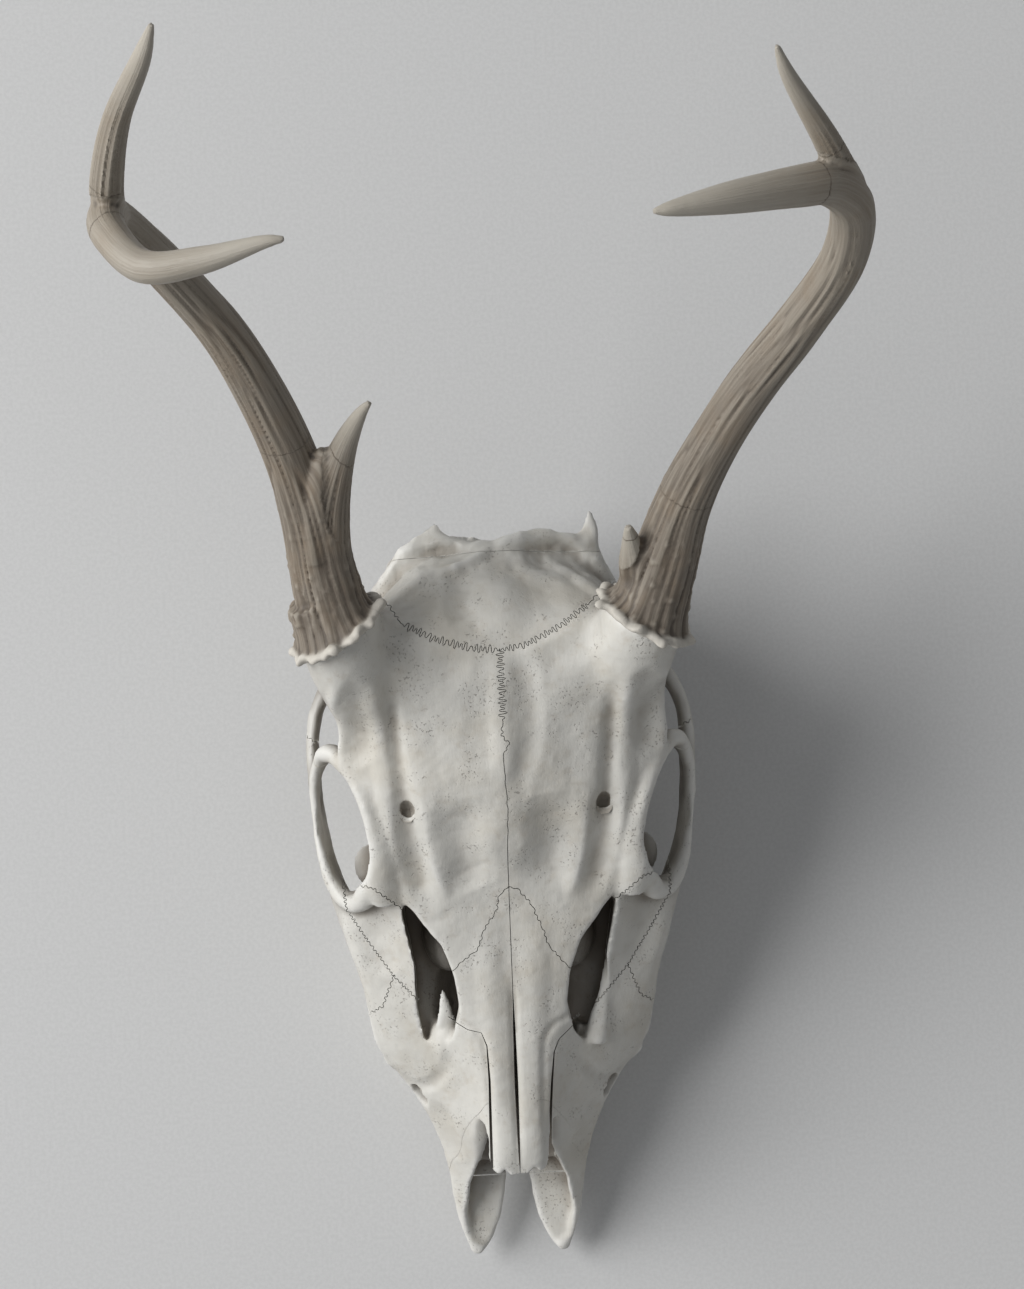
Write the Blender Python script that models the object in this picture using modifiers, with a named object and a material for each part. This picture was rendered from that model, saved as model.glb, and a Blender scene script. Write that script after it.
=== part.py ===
"""White-tailed buck skull with antlers and no lower jaw, at life size.

The skull lies on its cheek teeth and on the tips of its paroccipital processes. The muzzle points
to -Y, the deer's left side is +X, and the floor is Z = 0. Lengths are in millimetres until a mesh
is made. The skull is blocked in from lofts, sweeps and ellipsoids, fused, hollowed, and then parted
along its sutures, so each bone is one solid with a thin gap to its neighbours.
"""

import math

import bmesh
import bpy
import numpy as np
from mathutils import Matrix, Vector

MM = 0.001

# Driving sizes of the skull, in millimetres
SKULL_FRONT = -178.0     # tips of the premaxillae
SKULL_BACK = 52.0        # plane of the occiput
BREGMA = (19.0, 106.0)   # y and z of the forehead's highest point, where the sutures meet
BROW_FORAMEN = (31.5, -28.0, 92.0)
SUTURE = 0.3             # gap between neighbouring bones
SMALLEST_PIECE = 16      # a loose piece with fewer corners is a crumb between two cuts
VOXEL_SKULL = 1.5
VOXEL_HOLLOWS = 1.2
VOXEL_ANTLER = 1.3
SKULL_TRIANGLES = 2900
ANTLER_TRIANGLES = 740

# Lines that run along the right half of the skull, as (y, x, z) from the muzzle to the occiput
CROWN = ((-180, 0, 12), (-165, 0, 30), (-150, 0, 46), (-125, 0, 53), (-100, 0, 60.5), (-55, 0, 75),
         (-28, 0, 92), (0, 0, 101.5), (19, 0, 106), (36, 0, 101), (52, 0, 87))
SHOULDER = ((-180, 5, 12), (-150, 8, 44.5), (-125, 9, 51.5), (-104, 13, 57.5), (-90, 19, 61),
            (-72, 24, 67), (-57, 33, 71.5), (-40, 40, 79), (-25, 44.5, 83.5), (-12, 49, 86),
            (2, 49.5, 95), (14, 48, 104), (22, 45, 104), (36, 32, 94), (52, 19, 82))
FLANK = ((-180, 12, 11), (-165, 16, 19), (-148, 12.5, 31), (-133, 13, 43), (-120, 16, 46),
         (-106, 22, 49), (-90, 30, 52), (-72, 38, 56), (-57, 45, 57), (-42, 37, 70), (-25, 40, 76),
         (-12, 45, 77), (2, 46, 84), (14, 46, 92), (22, 42, 90), (36, 37, 77), (52, 29, 66))
SIDE = ((-180, 16, 10), (-165, 20.5, 14), (-145, 23.5, 21), (-130, 29, 25), (-118, 36, 28),
        (-108, 43, 31), (-95, 46.5, 37), (-80, 50, 42), (-65, 54, 46), (-58, 54, 48), (-44, 26, 54),
        (-28, 18, 58), (-10, 22, 62), (5, 31, 66), (20, 36, 66), (38, 36, 60), (52, 28, 50))
GUM = ((-180, 13, 8), (-165, 16, 8.5), (-145, 17, 11), (-125, 21, 13.5), (-112, 26, 14.5),
       (-98, 31, 15.5), (-75, 33, 17), (-55, 34, 20), (-42, 26, 26), (-28, 18, 32), (-10, 20, 36),
       (10, 24, 38), (25, 26, 37), (45, 24, 36), (52, 21, 34))
PALATE_EDGE = ((-180, 7, 8), (-165, 9, 9), (-145, 10, 12), (-125, 13, 14), (-112, 15, 15),
               (-95, 17, 15.5), (-50, 19, 17), (-42, 14, 22), (-28, 11, 27), (25, 11, 27),
               (50, 10, 29))
PALATE = ((-180, 0, 10), (-165, 0, 11), (-145, 0, 14), (-120, 0, 18), (-90, 0, 21), (-60, 0, 22),
          (-42, 0, 25), (-20, 0, 28), (25, 0, 27.5), (52, 0, 30))
SECTION_LINES = (CROWN, SHOULDER, FLANK, SIDE, GUM, PALATE_EDGE, PALATE)

# The nasal cavity behind its aperture, as (y, x, z) lines like those above
CAVITY_ROOF = ((-150, 0, 40), (-125, 0, 48), (-100, 0, 55), (-75, 0, 62), (-50, 0, 62))
CAVITY_SIDE = ((-150, 13, 26), (-130, 14, 32), (-110, 21, 40), (-90, 27, 46), (-75, 27, 50),
               (-60, 20, 52), (-50, 12, 54))
CAVITY_FLOOR = ((-150, 0, 17), (-125, 0, 22), (-95, 0, 27), (-75, 0, 30), (-60, 0, 36), (-50, 0, 46))

# Side view, as (y, z), of the joint between each premaxilla and its maxilla
JAW_JOINT = ((-120, 60), (-124, 52), (-132, 40), (-142, 28), (-151, 17), (-154, -9))

# Cheek teeth: P2 to M3, as (length, width at the gum)
CHEEK_TEETH = ((9.5, 8.0), (10.5, 9.5), (10.5, 11.0), (13.5, 12.5), (14.5, 13.5), (14.0, 12.5))
TOOTH_ROW_FRONT = (-121.0, 20.0)   # y and x where the row starts
TOOTH_ROW_BACK_X = 27.5
TOOTH_ROOT_Z = 22.0

# Antlers: (x, y, z, radius) down the middle of each beam and tine
BEAM_RIGHT = ((-49.5, 30, 114, 12), (-53.5, 45, 120.5, 9.9), (-56.5, 62, 132, 8.8),
              (-61, 79, 146, 8.0), (-68, 95, 162, 7.4), (-77.5, 111, 178, 6.8),
              (-90.5, 125.5, 198, 6.4), (-101.5, 135, 222, 5.9), (-103.5, 134, 234, 5.6),
              (-102, 127.5, 243, 5.2), (-92.5, 117, 253, 4.6), (-77, 117, 259, 3.8),
              (-61, 120, 264.5, 2.0), (-54.5, 120.5, 266, 0.8))
REAR_TINE_RIGHT = ((-103.5, 134.5, 222, 4.6), (-102.5, 142, 242, 4.7), (-98, 155.5, 257, 3.9),
                   (-90, 168, 270, 2.8), (-86, 178, 278, 0.8))
BROW_TINE_RIGHT = ((-58, 71.5, 140, 6), (-46.5, 78.5, 151, 4.2), (-38.5, 86.5, 161, 2.2),
                   (-35.5, 89.5, 165, 0.8))
BEAM_LEFT = ((45.5, 29.5, 114, 12), (51, 43.5, 120.5, 10.6), (57, 60.5, 133, 8.8),
             (65.5, 76, 149, 7.8), (76.5, 91.5, 166.5, 7.6), (89, 105.5, 186, 7.2),
             (98.5, 118.5, 208.5, 6.7), (99, 129, 230, 6.3), (91, 133, 244, 6.0),
             (81.5, 131.5, 251, 5.7), (62.5, 127.5, 260, 4.4), (47.5, 124.5, 265, 2.4),
             (41, 123.5, 266.5, 0.8))
REAR_TINE_LEFT = ((97.5, 133.5, 236, 4.8), (89.5, 144, 252, 3.8), (79, 157.5, 266, 2.3),
                  (75, 165, 273, 0.8))
BROW_TINE_LEFT = ((47, 39, 118, 6.5), (43, 44.5, 126, 4.0), (40.5, 50, 133, 2.4),
                  (39.5, 53, 136, 1.2))
BURR_RIGHT = (-49, 26.5, 112)      # middle of the burr, on its pedicle
BURR_LEFT = (44, 26, 112)
BURR_AXIS_RIGHT = (-0.50, 0.76, 0.42)
BURR_AXIS_LEFT = (0.48, 0.78, 0.40)
BURR_RADIUS = 14.6
BURR_KNOBS = 15
PEDICLE_RIGHT = ((-38, 4, 84, 9), (-42, 12, 97, 12), (-46, 20, 106, 13.4), (-49, 26.5, 111, 13.8),
                 (-53, 33, 115, 13.8))
PEDICLE_LEFT = ((34, 3, 84, 9), (38, 11, 97, 12), (41.5, 19, 106, 13.4), (44, 26, 111, 13.8),
                (48, 33, 115, 13.8))

# A point near the middle of each bone, by which it is named once the skull is parted
PAIRED_BONES = {"maxilla": (25, -95, 30), "frontal": (28, -15, 88), "premaxilla": (12.5, -147, 26),
                "nasal": (8, -105, 55), "lacrimal": (43, -61, 56), "zygomatic": (52.5, -47, 46),
                "temporal": (34, 21, 46)}
BONE_SEEDS = {"parietal": (0, 39, 83), "occipital": (0, 49, 48), "sphenoid_palatine": (0, -14, 42)}
for bone, (x, y, z) in PAIRED_BONES.items():
    BONE_SEEDS[bone + "_left"] = (x, y, z)
    BONE_SEEDS[bone + "_right"] = (-x, y, z)

BONE = (0.74, 0.71, 0.65)
BONE_WARM = (0.69, 0.65, 0.57)     # the underside and back of the skull
ANTLER_DARK = (0.22, 0.18, 0.14)   # at the burr
ANTLER_MID = (0.36, 0.32, 0.27)
ANTLER_PALE = (0.55, 0.51, 0.45)   # on the tines
BONE_ROUGHNESS = 0.55
ANTLER_ROUGHNESS = 0.62
CREASE = math.radians(40)          # edges sharper than this are shaded sharp


# ---------------------------------------------------------------- scene and collections

for leftover in list(bpy.data.objects):
    bpy.data.objects.remove(leftover, do_unlink=True)

parts = bpy.data.collections.new("deer_skull")
cutters = bpy.data.collections.new("cutters")
bpy.context.scene.collection.children.link(parts)
bpy.context.scene.collection.children.link(cutters)


def add_mesh_object(name, mesh, collection):
    """A new object for a mesh, in one of the two collections."""
    obj = bpy.data.objects.new(name, mesh)
    collection.objects.link(obj)
    return obj


def as_helper(obj):
    """Marks a cutter or guide, which is no part of the skull."""
    obj.hide_render = True
    obj.display_type = "WIRE"
    return obj


def finish(obj):
    """Gives a bone or a length of antler its own material and smooth shading."""
    if "tine" in obj.name:
        colour = ANTLER_PALE
    elif obj.name.endswith("beam"):
        colour = ANTLER_MID
    elif obj.name.startswith("antler"):
        colour = ANTLER_DARK
    elif obj.name.startswith(("temporal", "occipital", "sphenoid")):
        colour = BONE_WARM
    else:
        colour = BONE
    roughness = ANTLER_ROUGHNESS if obj.name.startswith("antler") else BONE_ROUGHNESS
    material = bpy.data.materials.new(obj.name)
    material.use_nodes = True
    shader = material.node_tree.nodes["Principled BSDF"]
    shader.inputs["Base Color"].default_value = (*colour, 1.0)
    shader.inputs["Roughness"].default_value = roughness
    shader.inputs["Metallic"].default_value = 0.0
    obj.data.materials.append(material)
    obj.data.shade_smooth()
    obj.data.set_sharp_from_angle(angle=CREASE)


# ---------------------------------------------------------------- curves, lofts and sweeps

def smooth_at(knots, y):
    """(x, z) of a line at y, from its knots, with slopes that never overshoot them."""
    table = np.array(knots, float)
    ys = table[:, 0]
    result = []
    for column in (1, 2):
        values = table[:, column]
        rises = np.diff(values) / np.diff(ys)
        slopes = np.concatenate([rises[:1], (rises[:-1] + rises[1:]) / 2, rises[-1:]])
        for i in range(1, len(values) - 1):
            if rises[i - 1] * rises[i] <= 0:
                slopes[i] = 0.0
            else:
                limit = 3 * min(abs(rises[i - 1]), abs(rises[i]))
                slopes[i] = math.copysign(min(abs(slopes[i]), limit), slopes[i])
        at = min(max(y, ys[0]), ys[-1])
        i = min(int(np.searchsorted(ys, at, side="right")) - 1, len(ys) - 2)
        span = ys[i + 1] - ys[i]
        t = (at - ys[i]) / span
        result.append(
            (2 * t**3 - 3 * t**2 + 1) * values[i]
            + (t**3 - 2 * t**2 + t) * span * slopes[i]
            + (3 * t**2 - 2 * t**3) * values[i + 1]
            + (t**3 - t**2) * span * slopes[i + 1]
        )
    return result


def round_through(points, steps):
    """Points along a smooth curve through the given ones."""
    points = [Vector(p) for p in points]
    ends = [2 * points[0] - points[1]] + points + [2 * points[-1] - points[-2]]
    out = []
    for a, b, c, d in zip(ends, ends[1:], ends[2:], ends[3:]):
        for step in range(steps):
            t = step / steps
            out.append(0.5 * (2 * b + (c - a) * t + (2 * a - 5 * b + 4 * c - d) * t**2
                              + (3 * b - a - 3 * c + d) * t**3))
    return out + [points[-1]]


def loft(name, rings, collection):
    """A closed solid through rings of equal point counts, capped at both ends."""
    work = bmesh.new()
    loops = [[work.verts.new(Vector(p) * MM) for p in ring] for ring in rings]
    for lower, upper in zip(loops, loops[1:]):
        for i in range(len(lower)):
            j = (i + 1) % len(lower)
            work.faces.new((lower[i], lower[j], upper[j], upper[i]))
    work.faces.new(reversed(loops[0]))
    work.faces.new(loops[-1])
    bmesh.ops.recalc_face_normals(work, faces=work.faces)
    mesh = bpy.data.meshes.new(name)
    work.to_mesh(mesh)
    work.free()
    return add_mesh_object(name, mesh, collection)


def section_loft(name, lines, first, last, count, collection):
    """A loft of cross-sections that pass through the lines, mirrored to both sides."""
    rings = []
    for y in np.linspace(first, last, count):
        half = [Vector((smooth_at(line, y)[0], y, smooth_at(line, y)[1])) for line in lines]
        mirrored = [Vector((-p.x, p.y, p.z)) for p in reversed(half[1:-1])]
        closed = half + mirrored
        size = len(closed)
        ring = []
        for i in range(size):
            a, b, c, d = (closed[(i + k) % size] for k in (-1, 0, 1, 2))
            for step in range(4):
                t = step / 4
                ring.append(0.5 * (2 * b + (c - a) * t + (2 * a - 5 * b + 4 * c - d) * t**2
                                   + (3 * b - a - 3 * c + d) * t**3))
        rings.append(ring)
    return loft(name, rings, collection)


def strap(name, path, collection, steps=4, sides=12):
    """A sweep of upright ellipses: path holds (x, y, z, half width, half height)."""
    knots = [Vector(p[:3]) for p in path]
    sizes = [Vector((p[3], p[4], 0)) for p in path]
    points = round_through(knots, steps)
    radii = round_through(sizes, steps)
    rings = []
    for i, (point, radius) in enumerate(zip(points, radii)):
        ahead = points[min(i + 1, len(points) - 1)] - points[max(i - 1, 0)]
        ahead.normalize()
        across = ahead.cross(Vector((0, 0, 1)))
        if across.length < 0.2:
            across = ahead.cross(Vector((0, 1, 0)))
        across.normalize()
        up = across.cross(ahead)
        rings.append([point + across * radius.x * math.cos(2 * math.pi * k / sides)
                      + up * radius.y * math.sin(2 * math.pi * k / sides) for k in range(sides)])
    return loft(name, rings, collection)


def tube(name, path, collection, steps=5, sides=4):
    """A round tapered tube: path holds (x, y, z, radius). It is a curve made into a mesh."""
    points = round_through([p[:3] for p in path], steps)
    radii = round_through([(p[3], 0, 0) for p in path], steps)
    data = bpy.data.curves.new(name, "CURVE")
    data.dimensions = "3D"
    data.bevel_depth = MM
    data.bevel_resolution = sides
    data.use_fill_caps = True
    spline = data.splines.new("POLY")
    spline.points.add(len(points) - 1)
    for knot, point, radius in zip(spline.points, points, radii):
        knot.co = (*(point * MM), 1.0)
        knot.radius = max(radius.x, 0.5)
    curve = add_mesh_object(name + "_curve", data, collection)
    graph = bpy.context.evaluated_depsgraph_get()
    mesh = bpy.data.meshes.new_from_object(curve.evaluated_get(graph))
    work = bmesh.new()
    work.from_mesh(mesh)
    bmesh.ops.remove_doubles(work, verts=work.verts, dist=1e-6)
    bmesh.ops.recalc_face_normals(work, faces=work.faces)
    work.to_mesh(mesh)
    work.free()
    bpy.data.objects.remove(curve, do_unlink=True)
    return add_mesh_object(name, mesh, collection)


def ellipsoid(name, centre, radii, collection, turn=(0, 0, 0)):
    """A ball stretched to three radii; turn is in degrees about x, y and z."""
    bpy.ops.mesh.primitive_uv_sphere_add(segments=32, ring_count=16, radius=1.0)
    ball = bpy.context.active_object
    ball.name = name
    rotation = Matrix.Identity(4)
    for axis, degrees in zip("ZYX", reversed(turn)):
        rotation = rotation @ Matrix.Rotation(math.radians(degrees), 4, axis)
    scale = Matrix.Diagonal((*(Vector(radii) * MM), 1.0))
    ball.data.transform(Matrix.Translation(Vector(centre) * MM) @ rotation @ scale)
    for owner in list(ball.users_collection):
        owner.objects.unlink(ball)
    collection.objects.link(ball)
    return ball


def prism(name, outline, axis, low, high, collection):
    """A flat outline pushed along an axis; the outline gives the other two coordinates in order."""
    def place(pair, level):
        values = list(pair)
        values.insert("xyz".index(axis), level)
        return values
    return loft(name, [[place(p, low) for p in outline], [place(p, high) for p in outline]],
                collection)


def wall(name, line, axis, low, high, collection):
    """A thin sheet that follows a line in a plane and is as deep as low to high across it."""
    points = [Vector(p).to_2d() for p in line]
    left, right = [], []
    for i, point in enumerate(points):
        ahead = (points[min(i + 1, len(points) - 1)] - points[max(i - 1, 0)]).normalized()
        side = Vector((-ahead.y, ahead.x)) * SUTURE / 2
        left.append(point + side)
        right.append(point - side)
    return prism(name, left + right[::-1], axis, low, high, collection)


def mirrored(obj, name):
    """A copy on the other side of the skull, with its faces turned to point out again."""
    mesh = obj.data.copy()
    mesh.transform(Matrix.Diagonal((-1, 1, 1, 1)))
    mesh.flip_normals()
    return add_mesh_object(name, mesh, obj.users_collection[0])


def apply_modifiers(obj):
    """Makes the modified shape the object's own mesh."""
    graph = bpy.context.evaluated_depsgraph_get()
    mesh = bpy.data.meshes.new_from_object(obj.evaluated_get(graph))
    obj.modifiers.clear()
    obj.data = mesh
    return obj


def joined(name, pieces, collection):
    """One object from many, whose shells may run through each other."""
    work = bmesh.new()
    for piece in pieces:
        work.from_mesh(piece.data)
        bpy.data.objects.remove(piece, do_unlink=True)
    mesh = bpy.data.meshes.new(name)
    work.to_mesh(mesh)
    work.free()
    return add_mesh_object(name, mesh, collection)


def fused(name, pieces, voxel, smoothing, collection):
    """One skin over many overlapping shells, smoothed where they meet."""
    obj = joined(name, pieces, collection)
    remesh = obj.modifiers.new("one_skin", "REMESH")
    remesh.mode = "VOXEL"
    remesh.voxel_size = voxel * MM
    relax = obj.modifiers.new("relax", "SMOOTH")
    relax.factor = 0.5
    relax.iterations = smoothing
    return apply_modifiers(obj)


def carved(obj, cutter):
    """Cuts one solid from another. MANIFOLD, as EXACT leaves scraps of the cutter in these forms."""
    cut = obj.modifiers.new("cut", "BOOLEAN")
    cut.operation = "DIFFERENCE"
    cut.solver = "MANIFOLD"
    cut.object = cutter
    as_helper(cutter)
    return apply_modifiers(obj)


def disc(name, centre, axis, radius, low, high):
    """A round cutter that spans from low to high along an axis through a point."""
    bpy.ops.mesh.primitive_cylinder_add(vertices=32, radius=radius * MM, depth=(high - low) * MM)
    made = bpy.context.active_object
    made.name = name
    along = Vector(axis).normalized()
    turn = along.to_track_quat("Z", "Y").to_matrix().to_4x4()
    middle = (Vector(centre) + along * (low + high) / 2) * MM
    made.data.transform(Matrix.Translation(middle) @ turn)
    for owner in list(made.users_collection):
        owner.objects.unlink(made)
    cutters.objects.link(made)
    return made


def parted(obj, seeds):
    """Splits an object into its loose pieces and names each by the seed point nearest its middle."""
    work = bmesh.new()
    work.from_mesh(obj.data)
    waiting = set(work.verts)
    pieces = []
    while waiting:
        island = {waiting.pop()}
        front = list(island)
        while front:
            for edge in front.pop().link_edges:
                for vertex in edge.verts:
                    if vertex in waiting:
                        waiting.discard(vertex)
                        island.add(vertex)
                        front.append(vertex)
        pieces.append(sorted(island, key=lambda v: v.index))
    pieces.sort(key=lambda island: (-len(island), island[0].index))
    free = dict(seeds)
    for island in pieces:
        if len(island) < SMALLEST_PIECE:
            continue
        middle = sum((v.co for v in island), Vector()) / len(island) / MM
        name = min(free, key=lambda n: (Vector(free[n]) - middle).length)
        del free[name]
        inside = set(island)
        only = bmesh.new()
        old_to_new = {v: only.verts.new(v.co) for v in island}
        for face in work.faces:
            if face.verts[0] in inside:
                only.faces.new([old_to_new[v] for v in face.verts])
        mesh = bpy.data.meshes.new(name)
        only.to_mesh(mesh)
        only.free()
        finish(add_mesh_object(name, mesh, parts))
    work.free()
    bpy.data.objects.remove(obj, do_unlink=True)


def is_closed(mesh):
    """Whether every edge has just two faces."""
    work = bmesh.new()
    work.from_mesh(mesh)
    closed = all(edge.is_manifold for edge in work.edges)
    closed = closed and all(vertex.is_manifold for vertex in work.verts)
    work.free()
    return closed


def thinned(obj, triangles):
    """Fewer triangles for the same form. A count that leaves an edge open is raised a little."""
    full = obj.data
    full.calc_loop_triangles()
    for extra in range(40):
        reduce = obj.modifiers.new("thin", "DECIMATE")
        reduce.ratio = triangles * (1 + extra / 200) / len(full.loop_triangles)
        apply_modifiers(obj)
        if is_closed(obj.data):
            return obj
        obj.data = full
    return obj


# ---------------------------------------------------------------- the skull, blocked in

def both_sides(make, name, *details, **more):
    """The same shell on the left and on the right."""
    one = make(name, *details, parts, **more)
    return [one, mirrored(one, name + "_mirror")]


def blocked_in_skull():
    """Overlapping shells for everything that grows from the skull, teeth included."""
    shells = [section_loft("core", SECTION_LINES, SKULL_FRONT, SKULL_BACK, 70, parts)]
    shells += both_sides(strap, "cheek_arch", (
        (44, -84, 38, 4, 8), (51, -64, 42, 4, 8), (57, -46, 42, 2.6, 7), (60, -30, 43, 2.4, 7),
        (61, -14, 44, 2.4, 6.5), (60.5, 0, 44, 2.4, 5.5), (56, 11, 44, 3, 5), (46, 19, 45, 6, 5),
        (36, 22, 47, 6, 6)))
    shells += both_sides(strap, "orbit_rim", (
        (44, -52, 68, 4, 4), (48.5, -58, 58, 3.5, 4), (54, -55, 51, 3, 4), (58.5, -45, 49, 2, 4),
        (60.5, -30, 51, 1.8, 3.5), (60.5, -18, 56, 2.2, 4), (57.5, -11, 64, 2.6, 4.5),
        (53.5, -10, 74, 3, 4.5), (48, -16, 82, 3, 3)))
    shells += both_sides(strap, "brow", (
        (50, -12, 81, 3, 3), (44, -26, 83, 2.6, 2.4), (40, -40, 79, 3, 2.6), (40, -52, 73, 4, 3)))
    shells.append(tube("pedicle_left", PEDICLE_LEFT, parts))
    shells.append(tube("pedicle_right", PEDICLE_RIGHT, parts))
    shells += both_sides(strap, "nuchal_crest", (
        (40, 20, 60, 3, 4), (39.5, 30, 68, 3, 4), (35, 42, 75, 3, 4), (27, 53, 79, 3, 4),
        (15, 55, 81, 3, 4.5), (0, 51, 84, 3, 5)))
    shells += both_sides(ellipsoid, "condyle", (13, 55, 37), (8.5, 9, 12), turn=(0, -25, 0))
    shells += both_sides(strap, "paroccipital", (
        (25, 46, 42, 6, 6), (24.5, 48, 28, 5, 4.5), (23, 48, 14, 3.4, 4), (21.3, 46.5, -5, 2.8, 3.4)))
    shells += both_sides(ellipsoid, "bulla", (19.5, 27, 24), (7.5, 13, 10), turn=(0, 10, -18))
    shells += both_sides(ellipsoid, "jaw_socket", (38, 14, 42), (11, 9, 4))
    shells += both_sides(strap, "pterygoid", (
        (13, -50, 24, 1.8, 8), (11.5, -34, 23, 1.5, 9), (10.5, -18, 24, 1.4, 7), (10.5, -4, 28, 1.6, 4)))
    shells += both_sides(ellipsoid, "tear_bulla", (30, -52, 38), (9, 12, 10))
    shells.append(ellipsoid("occiput", (0, 34, 58), (34, 20, 27), parts))
    return shells


def cheek_teeth():
    """Two rows of six, each tooth two lobes with worn, level tops."""
    shells = []
    y, x = TOOTH_ROW_FRONT
    row_length = sum(length for length, _ in CHEEK_TEETH)
    for number, (length, width) in enumerate(CHEEK_TEETH):
        centre_y = y + length / 2
        lean = (centre_y - TOOTH_ROW_FRONT[0]) / row_length
        centre_x = x + (TOOTH_ROW_BACK_X - x) * math.sin(lean * math.pi / 2)
        lobes = 2 if number > 2 else 1
        for lobe in range(lobes):
            lobe_y = centre_y + (lobe - (lobes - 1) / 2) * length / lobes
            rings = []
            for z, swell in ((0.0, 0.86), (3.0, 0.97), (9.0, 1.0), (TOOTH_ROOT_Z, 0.85)):
                half_length = (length / lobes / 2 + 0.15) * swell
                half_width = width / 2 * swell
                rings.append([
                    (centre_x + half_width * math.copysign(abs(math.cos(a)) ** 0.7, math.cos(a)),
                     lobe_y + half_length * math.copysign(abs(math.sin(a)) ** 0.7, math.sin(a)), z)
                    for a in (2 * math.pi * k / 20 for k in range(20))])
            tooth = loft(f"tooth_{number}_{lobe}", rings, parts)
            shells += [tooth, mirrored(tooth, tooth.name + "_mirror")]
        y += length
    return shells


def hollows():
    """Everything cut out of the skull: nose, orbits, fossae and foramina."""
    nose = section_loft("nasal_cavity", (CAVITY_ROOF, CAVITY_SIDE, CAVITY_FLOOR), -150, -50, 26,
                        cutters)
    aperture = prism("nasal_aperture", (
        (-129, 45.5), (-136, 46.0), (-147, 43.0), (-152, 60), (-190, 60), (-190, 11.5), (-172, 13),
        (-163, 17.5), (-150, 27), (-140, 36)), "x", -45, 45, cutters)
    tip_gap = prism("gap_between_tips", (
        (-1, -149), (-4.5, -158), (-6, -165), (-9, -172), (-12, -190), (12, -190), (9, -172),
        (6, -165), (4.5, -158), (1, -149)), "z", -5, 60, cutters)
    tools = [nose, aperture, tip_gap]
    for side in (1, -1):
        tools.append(prism(f"nasal_floor_{side}", (
            (side * 4, -152), (side * 5.5, -160), (side * 8, -170), (side * 13, -172),
            (side * 14.5, -163), (side * 12, -150), (side * 9.5, -138), (side * 4, -138)),
            "z", 13.5, 60, cutters))
        tools.append(ellipsoid(f"orbit_{side}", (side * 48, -35, 64), (17, 17.5, 16.5), cutters,
                               turn=(0, side * 12, side * -14)))
        tools.append(ellipsoid(f"orbit_depth_{side}", (side * 36, -33, 58), (18, 15, 14), cutters))
        tools.append(prism(f"vacuity_{side}", (
            (side * 34.5, -57), (side * 30, -62), (side * 22.5, -72), (side * 19, -82),
            (side * 17.5, -92), (side * 19.5, -102), (side * 24, -107), (side * 29, -103),
            (side * 31, -92), (side * 31, -78), (side * 33.5, -66)), "z", 44, 90, cutters))
        tools.append(ellipsoid(f"cheek_foramen_{side}", (side * 31, -122, 29), (4, 5, 2.2),
                               cutters, turn=(0, 0, side * 25)))
        tools.append(strap(f"palate_slot_{side}", (
            (side * 4.6, -149, 13, 1.8, 9), (side * 5, -140, 15, 2.4, 9),
            (side * 5, -131, 17, 1.6, 9)), cutters))
        tools.append(ellipsoid(f"ear_hole_{side}", (side * 35, 26, 44), (8, 3, 3), cutters,
                               turn=(0, 0, side * 20)))
    tools.append(ellipsoid("foramen_magnum", (0, 52, 45), (10, 16, 10.5), cutters))
    tools.append(ellipsoid("throat", (0, -30, 23), (9, 22, 8), cutters, turn=(-8, 0, 0)))
    return tools


def under_floor():
    """The block that levels the worn teeth and the tips behind them to the floor."""
    return prism("under_floor", ((-200, -30), (200, -30), (200, 0), (-200, 0)), "y", -200, 100,
                 cutters)


# ---------------------------------------------------------------- sutures

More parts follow.
